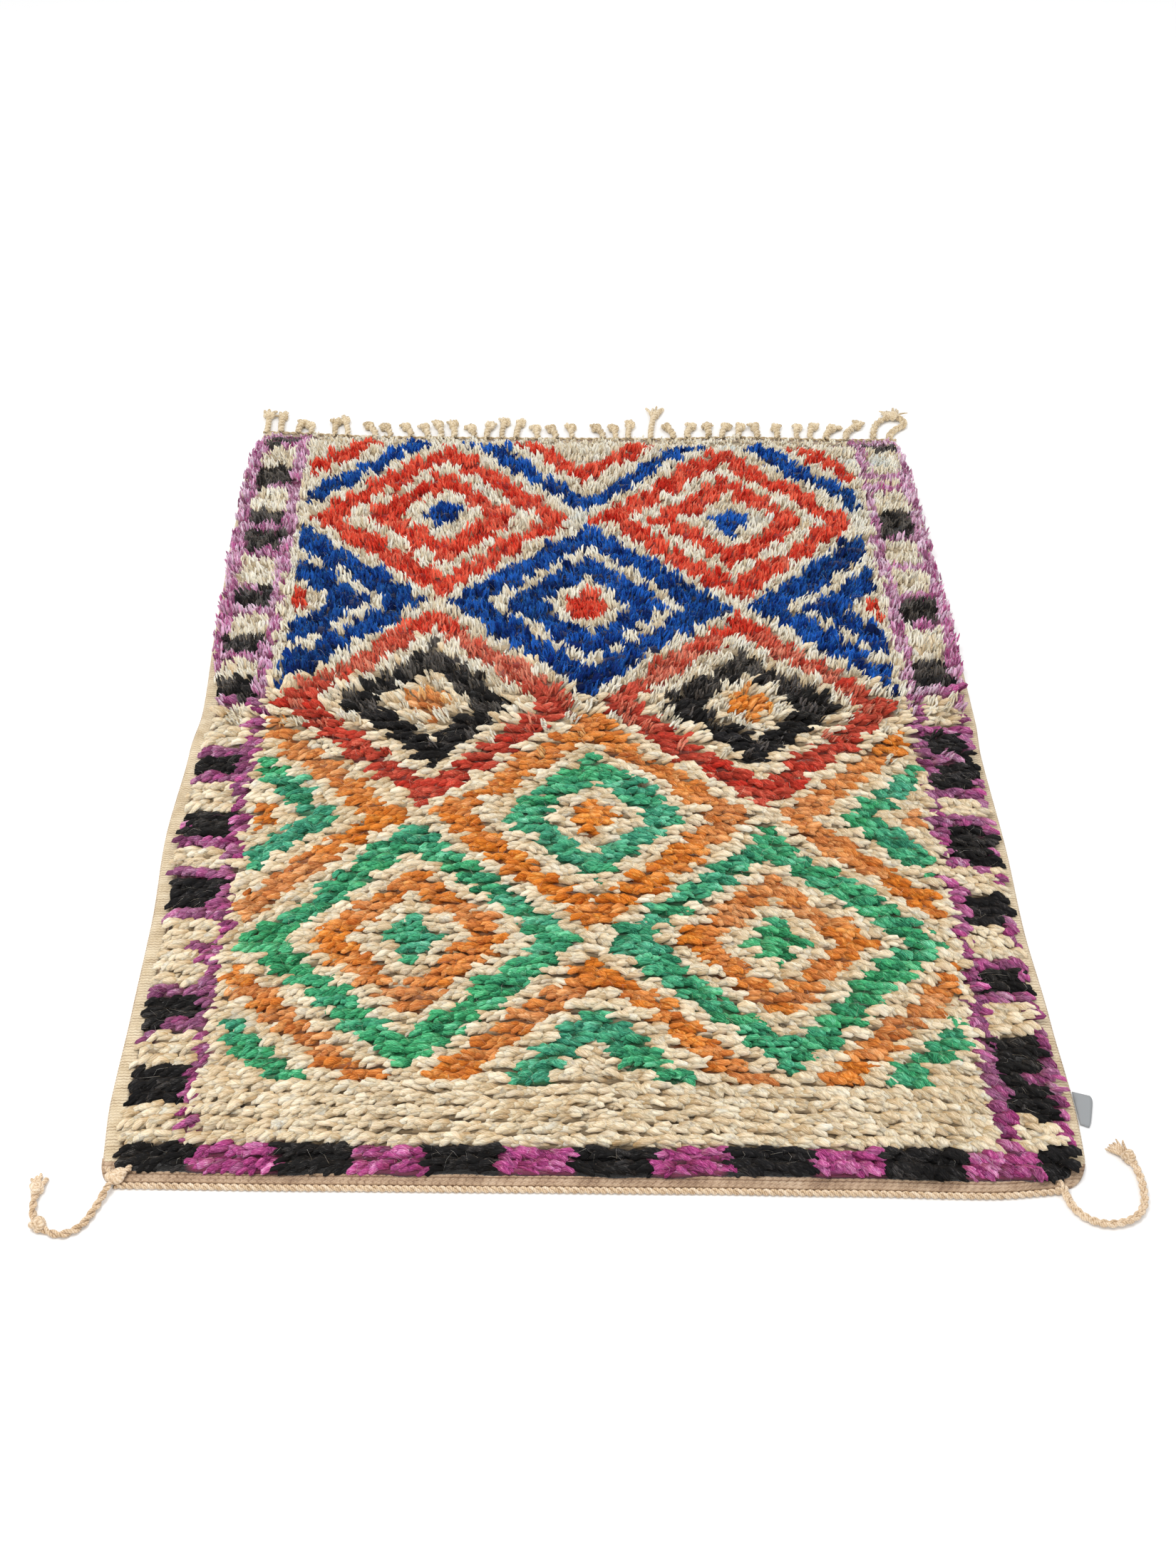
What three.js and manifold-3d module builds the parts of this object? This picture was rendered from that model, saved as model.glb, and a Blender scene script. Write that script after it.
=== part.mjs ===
// A small knotted wool rug with a plaited fringe on its back edge, a flat-woven hem on its front edge,
// and a tie at each front corner. Sizes are in millimetres. While the pieces are drawn, x runs across
// the rug from its middle and y runs from the front hem to the fringe. At the end the whole is moved
// so that its footprint is centred on the origin, with the floor at z = 0.

import * as THREE from "three";
import { mergeVertices } from "three/addons/utils/BufferGeometryUtils.js";
import Module from "manifold-3d";

const wasm = await Module();
wasm.setup();

// The cloth
const halfWidth = 500;
const clothLength = 1490;
const clothRise = 5;
const hemDepth = 28;
const backBand = 7;
const selvedge = 14;

// The pile
const rowPitch = 17.5;
const rowCount = Math.floor((clothLength - hemDepth - backBand) / rowPitch);
const firstRow = hemDepth + 5;
const flatPileLength = 820;
const pileTopFront = 20;
const pileTopBack = 26;
const ribDepth = 6;
const ribDepthBack = 3;
const grooveShare = 0.68;
const lumpHeight = 5;
const lumpSize = 70;
const unevenFront = 2.5;
const unevenBack = 7;
const waver = 4;
const waverSize = 45;
const edgeShare = 0.45;
const frontOverhang = 9;
const sideOverhang = 7;
const sideSlope = 12;
const backSlope = 55;
const insideColumns = 14;

// The locks at the pile's rim: their sizes, and how far they reach past the edge they stand on.
const sideLock = { width: 11, inside: 26, sunk: 8, lowTip: 8, highTip: 11, highTipBack: 18 };
const sideReach = { left: [-11, -1], right: [-9, 6] };
const frontLock = { count: 30, width: 12, rootFromEdge: 44, rootHigh: 12, tipHigh: 9.5, reach: [27, 33] };

// Fringe, cords and label
const gap = 0.3;
const edgeGap = 1;
const stripDepth = 6;
const stripRise = 5;
const stripInset = 9;
const edgeSteps = 40;
const edgeCordRadius = 3.6;
const edgeCordTurn = 48;
const edgeCordEnds = [-470, 473];
const leftTieRadius = 4;
const rightTieRadius = 4.6;
const labelRise = 1.2;

// How far each side edge stands out past halfWidth, along the cloth.
const sideEdges = [
  { y: 0, left: 5, right: 8 },
  { y: 110, left: 11, right: 12 },
  { y: 240, left: 9, right: 9 },
  { y: 380, left: 8, right: 5 },
  { y: 530, left: 13, right: 8 },
  { y: 700, left: 6, right: 6 },
  { y: 780, left: 0, right: 10 },
  { y: 980, left: 6, right: 11 },
  { y: 1180, left: 10, right: 8 },
  { y: 1350, left: 10, right: 5 },
  { y: 1490, left: -3, right: -2 },
];

// How far the front and back edges wander from straight, across the cloth.
const endEdges = [
  { x: -500, front: 3, back: 4 },
  { x: -300, front: 1, back: -6 },
  { x: -100, front: 0, back: -5 },
  { x: 100, front: -1, back: -2 },
  { x: 250, front: -3, back: 7 },
  { x: 400, front: -6, back: 3 },
  { x: 500, front: 2, back: 6 },
];

// The rounded corners: how far along the side each one starts, and how much it cuts off the end.
const corners = {
  frontLeft: { along: 24, cut: 13 },
  frontRight: { along: 46, cut: 27 },
  back: { along: 12, cut: 8 },
};

// Tassels of the fringe: where each is rooted, how far it reaches, and how far its tip leans.
const tassels = [
  { x: -490, reach: 68, lean: -2 },
  { x: -468, reach: 62, lean: -6 },
  { x: -441, reach: 38, lean: 4 },
  { x: -421, reach: 32, lean: -5 },
  { x: -383, reach: 48, lean: -7 },
  { x: -364, reach: 60, lean: -11 },
  { x: -321, reach: 42, lean: -16 },
  { x: -297, reach: 38, lean: -14 },
  { x: -265, reach: 40, lean: -14 },
  { x: -238, reach: 38, lean: -14 },
  { x: -218, reach: 50, lean: -9 },
  { x: -198, reach: 52, lean: -3 },
  { x: -166, reach: 36, lean: -10 },
  { x: -147, reach: 48, lean: 6 },
  { x: -123, reach: 62, lean: 2 },
  { x: -101, reach: 58, lean: 8 },
  { x: -67, reach: 38, lean: -8 },
  { x: -39, reach: 38, lean: -12 },
  { x: -12, reach: 42, lean: -10 },
  { x: 34, reach: 42, lean: -12 },
  { x: 55, reach: 40, lean: -6 },
  { x: 74, reach: 56, lean: 6 },
  { x: 109, reach: 98, lean: 14 },
  { x: 145, reach: 45, lean: -12 },
  { x: 168, reach: 46, lean: 7 },
  { x: 200, reach: 44, lean: 3 },
  { x: 222, reach: 42, lean: 11 },
  { x: 248, reach: 42, lean: 6 },
  { x: 278, reach: 44, lean: -5 },
  { x: 308, reach: 42, lean: 4 },
  { x: 340, reach: 44, lean: 3 },
  { x: 361, reach: 50, lean: 9 },
  { x: 384, reach: 44, lean: 26 },
  { x: 417, reach: 58, lean: 30 },
];

// Width and height of a tassel along its length: plait, knot, neck and frayed end.
const tasselSections = [
  { at: 0, wide: 9, high: 7 },
  { at: 0.35, wide: 10, high: 8 },
  { at: 0.55, wide: 15, high: 12 },
  { at: 0.68, wide: 10, high: 8 },
  { at: 0.85, wide: 15, high: 9 },
  { at: 1, wide: 8, high: 3 },
];

// The strip that the tassels are rooted in, the plait of the loop, and the loop's frayed ends.
const stripSections = [
  { at: 0, wide: stripDepth, high: stripRise },
  { at: 1, wide: stripDepth, high: stripRise },
];
const loopSections = [
  { at: 0, wide: 12, high: 8 },
  { at: 0.5, wide: 13, high: 10 },
  { at: 1, wide: 12, high: 8 },
];
const loopEndSections = [
  { at: 0, wide: 12, high: 11 },
  { at: 0.7, wide: 17, high: 12 },
  { at: 1, wide: 10, high: 5 },
];
const tuftSections = [
  { at: 0, wide: 5, high: 8 },
  { at: 1, wide: 4, high: 4 },
];

// The plaited loop at the back right corner, and the two frayed ends on its knot.
const loopRoute = [
  [460, 1499],
  [463, 1518],
  [469, 1542],
  [483, 1560],
  [500, 1568],
  [513, 1560],
  [514, 1544],
  [500, 1530],
  [489, 1514],
  [486, 1500],
];
const loopEnds = [
  { from: [499, 1566], to: [513, 1599] },
  { from: [496, 1565], to: [483, 1590] },
];

// Where the ties lie. Each point is on the cord's middle line.
const leftTieRoute = [
  [-494, -8, 9.5],
  [-498, -18, 6.2],
  [-503, -31, 4.6],
  [-508, -44, 4.6],
  [-514, -54, 4.6],
  [-523, -61, 4.6],
  [-533, -64, 4.6],
  [-541, -62, 4.6],
  [-548, -58.5, 4.6],
];
const leftKnot = { x: -555.5, y: -53.5, radius: 8 };
const leftTieTopRoute = [
  [-560.5, -46, 4.6],
  [-563.5, -37, 4.6],
  [-565, -27, 4.6],
  [-565.3, -16.8, 4.6],
];
const leftEnd = { x: -565.3, y: -8.5, radius: 7.5, toward: [0.05, 1], tuft: 15 };
const rightTieRoute = [
  [479, -7.5, 4.9],
  [481, -18, 5.1],
  [486, -29, 5.1],
  [494, -38, 5.1],
  [505, -44, 5.1],
  [517, -46, 5.1],
  [530, -44, 5.1],
  [542, -39, 5.1],
  [551, -31, 5.1],
  [557, -20, 5.1],
  [559.5, -8, 5.1],
  [560.5, 5, 5.1],
  [560, 19, 5.1],
  [557.5, 32, 5.1],
];
const rightEnd = { x: 553.5, y: 40, radius: 8.2, toward: [-0.55, 0.83], tuft: 21 };
const tuftSpread = 0.22;
const cornerKnot = { x: -487, y: 5, half: [13, 10.5, 4.75] };

const labelOutline = [
  [513, 88],
  [523, 83],
  [534.5, 127],
  [513, 134],
];

// A repeatable number from 0 to 1 for any two whole numbers.
function scatter(a, b = 0) {
  let mixed = Math.imul(a + 101, 374761393) ^ Math.imul(b + 57, 668265263);
  mixed = Math.imul(mixed ^ (mixed >>> 13), 1274126177);
  return ((mixed ^ (mixed >>> 16)) >>> 0) / 4294967296;
}

function mix(from, to, share) {
  return from + (to - from) * share;
}

function easedShare(share) {
  const kept = Math.min(1, Math.max(0, share));
  return kept * kept * (3 - 2 * kept);
}

// The value of one column of a table at a place between its rows, eased from row to row.
function read(table, key, place, column) {
  let after = table.findIndex((row) => row[key] >= place);
  if (after < 0) after = table.length - 1;
  if (after === 0) return table[0][column];
  const before = table[after - 1];
  const share = (place - before[key]) / (table[after][key] - before[key]);
  return mix(before[column], table[after][column], easedShare(share));
}

// Soft uneven lumps, from 0 to 1, about size wide.
function lump(x, y, size) {
  const column = Math.floor(x / size);
  const row = Math.floor(y / size);
  const across = easedShare(x / size - column);
  const along = easedShare(y / size - row);
  const front = mix(scatter(column, row), scatter(column + 1, row), across);
  const back = mix(scatter(column, row + 1), scatter(column + 1, row + 1), across);
  return mix(front, back, along);
}

// How much a rounded corner takes off the side at a distance from the end of the cloth.
function cornerCut(corner, fromEnd) {
  if (fromEnd >= corner.along) return 0;
  const share = 1 - Math.max(0, fromEnd) / corner.along;
  return corner.cut * (1 - Math.sqrt(1 - share * share));
}

function sideEdge(y, side) {
  const front = side < 0 ? corners.frontLeft : corners.frontRight;
  const bulge = read(sideEdges, "y", y, side < 0 ? "left" : "right");
  const cut = cornerCut(front, y) + cornerCut(corners.back, clothLength - y);
  return side * (halfWidth + bulge - cut);
}

function endWander(x, y) {
  const front = read(endEdges, "x", x, "front");
  const back = read(endEdges, "x", x, "back");
  return mix(front, back, y / clothLength);
}

// The lines of points across the rug. share says how much of the pile's height a line has, and drop
// how deep a groove it lies in.
function linesAcross() {
  const lines = [0, 4, 14, hemDepth].map((y) => ({ y, share: 0, drop: 0 }));
  lines.push({ y: hemDepth + 2, overhang: frontOverhang, share: edgeShare, drop: 0 });
  for (let row = 0; row < rowCount; row++) {
    const y = firstRow + row * rowPitch;
    const share = Math.min(1, (clothLength - backBand - y) / backSlope);
    lines.push({ y, share, drop: 0 });
    if (y < flatPileLength) {
      const drop = mix(ribDepth, ribDepthBack, y / flatPileLength);
      lines.push({ y: y + grooveShare * rowPitch, share: 1, drop });
    }
  }
  lines.push({ y: clothLength - backBand, share: 0, drop: 0 });
  lines.push({ y: clothLength, share: 0, drop: 0 });
  return lines;
}

// The columns of points along the rug, as distances in from the nearer side edge.
function columnsAlong() {
  const rim = [
    { inset: 0, share: 0 },
    { inset: selvedge, share: 0 },
    { inset: selvedge + 2, overhang: sideOverhang, share: edgeShare },
    { inset: selvedge + sideSlope, share: 0.9 },
  ];
  const left = rim.map((column) => ({ ...column, side: -1 }));
  const right = rim.toReversed().map((column) => ({ ...column, side: 1 }));
  const inside = [];
  for (let i = 1; i <= insideColumns; i++) {
    inside.push({ across: i / (insideColumns + 1), from: selvedge + sideSlope, share: 1 });
  }
  return [...left, ...inside, ...right];
}

function pileTop(x, y) {
  const base = mix(pileTopFront, pileTopBack, easedShare(y / clothLength));
  return base + lumpHeight * (lump(x, y, lumpSize) - 0.5);
}

function bodyPoint(column, line, i, j) {
  let x;
  if (column.side) {
    const inset = column.inset - (column.overhang ?? 0) * line.share;
    x = sideEdge(line.y, column.side) - column.side * inset;
  } else {
    x = mix(sideEdge(line.y, -1) + column.from, sideEdge(line.y, 1) - column.from, column.across);
  }
  const share = column.share * line.share;
  const aside = share * waver * (lump(x, line.y, waverSize) - 0.5);
  const y = line.y + endWander(x, line.y) - (line.overhang ?? 0) * column.share + aside;
  const uneven = line.y < flatPileLength ? unevenFront : unevenBack;
  const top = pileTop(x, line.y) - line.drop + uneven * (scatter(i, j) - 0.5);
  return [x, y, mix(clothRise, top, share)];
}

// A closed solid with an edited grid of points on top, upright walls from its rim and a flat underside.
function slab(columns, rows, pointAt) {
  const points = [];
  const faces = [];
  const at = (i, j) => j * columns + i;
  for (let j = 0; j < rows; j++) {
    for (let i = 0; i < columns; i++) points.push(pointAt(i, j));
  }
  for (let j = 0; j < rows - 1; j++) {
    for (let i = 0; i < columns - 1; i++) {
      faces.push(at(i, j), at(i + 1, j), at(i + 1, j + 1), at(i, j), at(i + 1, j + 1), at(i, j + 1));
    }
  }
  const rim = [];
  for (let i = 0; i < columns - 1; i++) rim.push(at(i, 0));
  for (let j = 0; j < rows - 1; j++) rim.push(at(columns - 1, j));
  for (let i = columns - 1; i > 0; i--) rim.push(at(i, rows - 1));
  for (let j = rows - 1; j > 0; j--) rim.push(at(0, j));
  const foot = points.length;
  for (const k of rim) points.push([points[k][0], points[k][1], 0]);
  const middle = points.length;
  points.push([0, clothLength / 2, 0]);
  rim.forEach((k, n) => {
    const next = (n + 1) % rim.length;
    faces.push(foot + n, foot + next, rim[next], foot + n, rim[next], k);
    faces.push(middle, foot + next, foot + n);
  });
  const geometry = new THREE.BufferGeometry();
  geometry.setAttribute("position", new THREE.Float32BufferAttribute(points.flat(), 3));
  geometry.setIndex(faces);
  return geometry;
}

// A straight bar of a section with so many sides, bent along a route. shape(x, y, t) moves each point
// of the section, which has a radius of 1, at the share t of the length.
function bentBar(route, sides, steps, shape) {
  const section = new THREE.Shape();
  for (let k = 0; k < sides; k++) {
    const angle = (2 * Math.PI * (k + 0.5)) / sides;
    if (k === 0) section.moveTo(Math.cos(angle), Math.sin(angle));
    else section.lineTo(Math.cos(angle), Math.sin(angle));
  }
  const bar = new THREE.ExtrudeGeometry(section, { depth: 1, steps, bevelEnabled: false });
  const points = route.map((point) => new THREE.Vector3(...point));
  const curve = new THREE.CatmullRomCurve3(points, false, "centripetal");
  const places = bar.attributes.position;
  for (let n = 0; n < places.count; n++) {
    const t = places.getZ(n);
    const middle = curve.getPointAt(t);
    const forward = curve.getTangentAt(t);
    const side = new THREE.Vector3(0, 0, 1).cross(forward).normalize();
    const up = forward.clone().cross(side);
    const [across, rise] = shape(places.getX(n), places.getY(n), t);
    const moved = middle.addScaledVector(side, across).addScaledVector(up, rise);
    places.setXYZ(n, moved.x, moved.y, moved.z);
  }
  return bar;
}

// A bar that lies on the floor, with a flat underside and a width and height from a table. Its top is
// narrower than its foot.
function lyingBar(route, steps, sections) {
  const flatRoute = route.map(([x, y]) => [x, y, 0]);
  return bentBar(flatRoute, 4, steps, (x, y, t) => {
    const wide = read(sections, "at", t, "wide");
    const high = read(sections, "at", t, "high");
    const onTop = y > 0;
    return [Math.sign(x) * wide * (onTop ? 0.32 : 0.5), onTop ? high : 0];
  });
}

function solidOf(geometry) {
  const bare = new THREE.BufferGeometry();
  bare.setAttribute("position", geometry.attributes.position.clone());
  if (geometry.index) bare.setIndex(geometry.index);
  const merged = mergeVertices(bare, 1e-4);
  const { position } = merged.attributes;
  return new wasm.Manifold(
    new wasm.Mesh({ numProp: 3, vertProperties: position.array, triVerts: merged.index.array }),
  );
}

function joined(geometries) {
  const whole = geometries.map(solidOf).reduce((all, next) => all.add(next));
  const mesh = whole.getMesh();
  const geometry = new THREE.BufferGeometry();
  geometry.setAttribute("position", new THREE.BufferAttribute(mesh.vertProperties, 3));
  geometry.setIndex(new THREE.BufferAttribute(mesh.triVerts, 1));
  return geometry;
}

// A thick four-sided lock of pile from its root to its tip, thinner at the tip.
function lock(root, tip, width) {
  return bentBar([root, tip], 4, 1, (x, y, t) => {
    const half = (width / 2) * mix(1.3, 0.5, t);
    return [x * half, y * half * 0.8];
  });
}

// Locks that stand out of the pile's rim over a selvedge, one on every other row of knots. They hang
// towards the hem on the front part of the rug, and stand up towards the fringe behind it.
function sideLocks(side) {
  const locks = [];
  const { width, inside, sunk, lowTip, highTip, highTipBack } = sideLock;
  const [least, most] = side < 0 ? sideReach.left : sideReach.right;
  for (let row = 1; row < rowCount - 3; row += 2) {
    const y = firstRow + row * rowPitch;
    const edge = sideEdge(y, side);
    const upper = y > flatPileLength;
    const root = [edge - side * inside, y + 5, pileTop(edge, y) - sunk];
    const reach = mix(least, most, scatter(row, side + 7));
    const high = mix(lowTip, upper ? highTipBack : highTip, scatter(row, 3));
    locks.push(lock(root, [edge + side * reach, y + (upper ? 4 : -7), high], width));
  }
  return locks;
}

// Locks that hang over the hem.
function frontLocks() {
  const locks = [];
  const { count, width, rootFromEdge, rootHigh, tipHigh, reach } = frontLock;
  for (let n = 0; n < count; n++) {
    const x = mix(-450, 470, n / (count - 1)) + 6 * (scatter(n, 11) - 0.5);
    const rootY = endWander(x, 0) + rootFromEdge;
    const tipX = x + 5 * (scatter(n, 13) - 0.5);
    const tipY = rootY - mix(...reach, scatter(n, 12));
    locks.push(lock([x, rootY, rootHigh], [tipX, tipY, tipHigh], width));
  }
  return locks;
}

function rugBody() {
  const columns = columnsAlong();
  const lines = linesAcross();
  const ground = slab(columns.length, lines.length, (i, j) => bodyPoint(columns[i], lines[j], i, j));
  return joined([ground, ...sideLocks(-1), ...sideLocks(1), ...frontLocks()]);
}

function topEdge(x) {
  return clothLength + endWander(x, clothLength);
}

function tassel({ x, reach, lean }, n) {
  const root = topEdge(x) + 3;
  const curl = 5 * (scatter(n, 31) - 0.5);
  const route = [
    [x, root],
    [x + 0.15 * lean + curl, root + 0.35 * reach],
    [x + 0.55 * lean + curl, root + 0.7 * reach],
    [x + lean, root + reach],
  ];
  return lyingBar(route, 4, tasselSections);
}

// The narrow strip along the back edge, with every tassel and the loop rooted in it.
function topFringe() {
  const half = halfWidth - stripInset;
  const middle = [];
  for (let n = 0; n <= edgeSteps; n++) {
    const x = mix(-half, half, n / edgeSteps);
    middle.push([x, topEdge(x) + edgeGap + stripDepth / 2]);
  }
  const strip = lyingBar(middle, edgeSteps, stripSections);
  const loop = lyingBar(loopRoute, 16, loopSections);
  const ends = loopEnds.map(({ from, to }) => lyingBar([from, to], 3, loopEndSections));
  return joined([strip, ...tassels.map(tassel), loop, ...ends]);
}

// The twisted cord along the hem's front edge.
function bottomEdgeCord() {
  const [first, last] = edgeCordEnds;
  const route = [];
  for (let n = 0; n <= edgeSteps; n++) {
    const x = mix(first, last, n / edgeSteps);
    route.push([x, endWander(x, 0) - 2 * gap - edgeCordRadius, edgeCordRadius]);
  }
  const turns = (last - first) / edgeCordTurn;
  return bentBar(route, 6, 2 * edgeSteps, (x, y, t) => {
    const angle = Math.atan2(y, x);
    const radius = edgeCordRadius * (0.88 + 0.12 * Math.cos(2 * (angle - 2 * Math.PI * turns * t)));
    return [radius * Math.cos(angle), radius * Math.sin(angle)];
  });
}

// A cord of two strands laid round each other.
function twistedCord(route, radius, steps, turns) {
  return bentBar(route, 8, steps, (x, y, t) => {
    const angle = Math.atan2(y, x);
    const around = radius * (1 + 0.1 * Math.cos(2 * (angle - Math.PI * turns * t)));
    return [around * Math.cos(angle), around * Math.sin(angle)];
  });
}

// A plaited cord, which bulges on its two sides in turn.
function plaitedCord(route, radius, steps, bulges) {
  return bentBar(route, 8, steps, (x, y, t) => {
    const swell = 1 + 0.12 * Math.sign(x) * Math.cos(2 * Math.PI * bulges * t);
    return [x * radius * swell, y * radius];
  });
}

// An overhand knot: a rounded lump with slanting ridges, resting on the floor or at a given height.
function knotLump(x, y, half, rise = 0) {
  const ball = new THREE.SphereGeometry(1, 10, 7);
  const places = ball.attributes.position;
  for (let n = 0; n < places.count; n++) {
    const [a, b, c] = [places.getX(n), places.getY(n), places.getZ(n)];
    const around = Math.atan2(c, a);
    const ridge = 1 - 0.1 * (1 - Math.abs(b)) * (1 - Math.cos(3 * around + 3 * b));
    places.setXYZ(n, x + a * half[0] * ridge, y - c * half[1] * ridge, rise + half[2] * (1 + b * ridge));
  }
  return ball;
}

// Half the width, depth and height of a knot in a tie, which lies a little flattened.
function tieKnotHalf(radius) {
  return [radius, radius, radius * 0.8];
}

// The knot at a tie's free end, with cut locks of yarn fanning out of it.
function knottedEnd({ x, y, radius, toward, tuft }) {
  const pieces = [knotLump(x, y, tieKnotHalf(radius))];
  for (let n = -2; n <= 2; n++) {
    const spread = tuftSpread * n;
    const ahead = [toward[0] - spread * toward[1], toward[1] + spread * toward[0]];
    const long = radius + tuft * (1 - 0.08 * Math.abs(n));
    const from = [x + ahead[0] * radius * 0.4, y + ahead[1] * radius * 0.4];
    const to = [x + ahead[0] * long, y + ahead[1] * long];
    pieces.push(lyingBar([from, to], 2, tuftSections));
  }
  return joined(pieces);
}

function sideLabel() {
  const outline = new THREE.Shape(labelOutline.map(([x, y]) => new THREE.Vector2(x, y)));
  return new THREE.ExtrudeGeometry(outline, { depth: labelRise, bevelEnabled: false });
}

const wool = { color: 0xdcc9a4, roughness: 0.95, metalness: 0 };
const yarn = { color: 0xb89c78, roughness: 0.92, metalness: 0 };
const tape = { color: 0x9a9da0, roughness: 0.6, metalness: 0 };

const onTheHem = clothRise + gap;
const pieces = [
  ["rug_body", rugBody(), wool],
  ["top_fringe", topFringe(), yarn],
  ["bottom_edge_cord", bottomEdgeCord(), yarn],
  ["left_corner_knot", knotLump(cornerKnot.x, cornerKnot.y, cornerKnot.half, onTheHem), yarn],
  ["left_tie", twistedCord(leftTieRoute, leftTieRadius, 26, 6), yarn],
  ["left_tie_knot", knotLump(leftKnot.x, leftKnot.y, tieKnotHalf(leftKnot.radius)), yarn],
  ["left_tie_top", twistedCord(leftTieTopRoute, leftTieRadius, 8, 2), yarn],
  ["left_tie_end", knottedEnd(leftEnd), yarn],
  ["right_tie", plaitedCord(rightTieRoute, rightTieRadius, 36, 12), yarn],
  ["right_tie_end", knottedEnd(rightEnd), yarn],
  ["side_label", sideLabel(), tape],
];

// The footprint that the origin is centred under leaves out the two loose ties.
const isLoose = (name) => /^(left|right)_tie/.test(name);
const rug = new THREE.Group();
const footprint = new THREE.Box3();
for (const [name, geometry, finish] of pieces) {
  const mesh = new THREE.Mesh(geometry, new THREE.MeshStandardMaterial(finish));
  mesh.name = name;
  rug.add(mesh);
  geometry.computeBoundingBox();
  if (!isLoose(name)) footprint.union(geometry.boundingBox);
}
const centre = footprint.getCenter(new THREE.Vector3());
rug.position.set(-centre.x, -centre.y, 0);

export default rug;
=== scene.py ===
# Small hand-knotted wool rug with a shaggy pile, laid flat on a pale floor.
# Everything is in metres. The rug is first worked out in its own layout, where x runs across from the
# middle and y runs from the front hem (0) to the fringe, and is then moved to where the frame holds it.

import math

import bpy
import numpy as np
from mathutils import Matrix, Vector


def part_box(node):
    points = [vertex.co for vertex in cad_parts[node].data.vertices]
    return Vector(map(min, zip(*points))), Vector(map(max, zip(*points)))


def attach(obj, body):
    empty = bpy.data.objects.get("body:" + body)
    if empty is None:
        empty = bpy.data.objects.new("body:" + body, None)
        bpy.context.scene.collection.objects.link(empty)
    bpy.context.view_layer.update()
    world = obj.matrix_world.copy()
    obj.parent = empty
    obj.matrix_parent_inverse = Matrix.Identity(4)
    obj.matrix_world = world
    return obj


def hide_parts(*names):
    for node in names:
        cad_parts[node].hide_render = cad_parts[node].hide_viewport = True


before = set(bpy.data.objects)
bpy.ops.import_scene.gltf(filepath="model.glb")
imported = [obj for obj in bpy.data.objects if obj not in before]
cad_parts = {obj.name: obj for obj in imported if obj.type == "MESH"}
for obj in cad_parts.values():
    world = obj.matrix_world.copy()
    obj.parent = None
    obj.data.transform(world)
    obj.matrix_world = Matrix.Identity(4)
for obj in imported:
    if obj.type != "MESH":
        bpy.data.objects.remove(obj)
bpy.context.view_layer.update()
print("frame loaded,", len(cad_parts), "nodes")

# where the rug's own layout sits in the frame, read off the side label's corners
labelCorners = [(0.513, 0.088), (0.523, 0.083), (0.5345, 0.127), (0.513, 0.134)]
labelLow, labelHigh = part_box("side_label")
layoutShift = np.array([
    labelHigh[0] - max(x for x, y in labelCorners),
    labelLow[1] - min(y for x, y in labelCorners),
    0.0,
])

rug = {
    "halfWidth": 0.5,
    "clothLength": 1.49,
    "clothTop": 0.0048,
    "clothBottom": 0.0006,
}

# how far each side edge stands out past halfWidth, along the cloth
sideEdges = [
    {"y": 0.00, "left": 0.005, "right": 0.008},
    {"y": 0.11, "left": 0.011, "right": 0.012},
    {"y": 0.24, "left": 0.009, "right": 0.009},
    {"y": 0.38, "left": 0.008, "right": 0.005},
    {"y": 0.53, "left": 0.013, "right": 0.008},
    {"y": 0.70, "left": 0.006, "right": 0.006},
    {"y": 0.78, "left": 0.000, "right": 0.010},
    {"y": 0.98, "left": 0.006, "right": 0.011},
    {"y": 1.18, "left": 0.010, "right": 0.008},
    {"y": 1.35, "left": 0.010, "right": 0.005},
    {"y": 1.49, "left": -0.003, "right": -0.002},
]

# how far the front and back edges wander from straight, across the cloth
endEdges = [
    {"x": -0.50, "front": 0.003, "back": 0.004},
    {"x": -0.30, "front": 0.001, "back": -0.006},
    {"x": -0.10, "front": 0.000, "back": -0.005},
    {"x": 0.10, "front": -0.001, "back": -0.002},
    {"x": 0.25, "front": -0.003, "back": 0.007},
    {"x": 0.40, "front": -0.006, "back": 0.003},
    {"x": 0.50, "front": 0.002, "back": 0.006},
]

corners = {
    "frontLeft": {"along": 0.024, "cut": 0.013},
    "frontRight": {"along": 0.046, "cut": 0.027},
    "back": {"along": 0.012, "cut": 0.008},
}


def smooth(share):
    share = np.clip(share, 0.0, 1.0)
    return share * share * (3.0 - 2.0 * share)


def readTable(table, key, places, column):
    # one column of a table between its rows, eased from row to row
    at = np.array([row[key] for row in table])
    value = np.array([row[column] for row in table])
    k = np.clip(np.searchsorted(at, places) - 1, 0, len(at) - 2)
    share = smooth((places - at[k]) / (at[k + 1] - at[k]))
    return value[k] + (value[k + 1] - value[k]) * share


def cornerCut(corner, fromEnd):
    share = 1.0 - np.clip(fromEnd, 0.0, corner["along"]) / corner["along"]
    return corner["cut"] * (1.0 - np.sqrt(1.0 - share * share))


def sideEdge(y, side):
    y = np.asarray(y, float)
    front = corners["frontLeft"] if side < 0 else corners["frontRight"]
    bulge = readTable(sideEdges, "y", y, "left" if side < 0 else "right")
    cut = cornerCut(front, y) + cornerCut(corners["back"], rug["clothLength"] - y)
    return side * (rug["halfWidth"] + bulge - cut)


def endWander(x, y):
    share = np.asarray(y) / rug["clothLength"]
    front = readTable(endEdges, "x", x, "front")
    back = readTable(endEdges, "x", x, "back")
    return front + (back - front) * share


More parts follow.
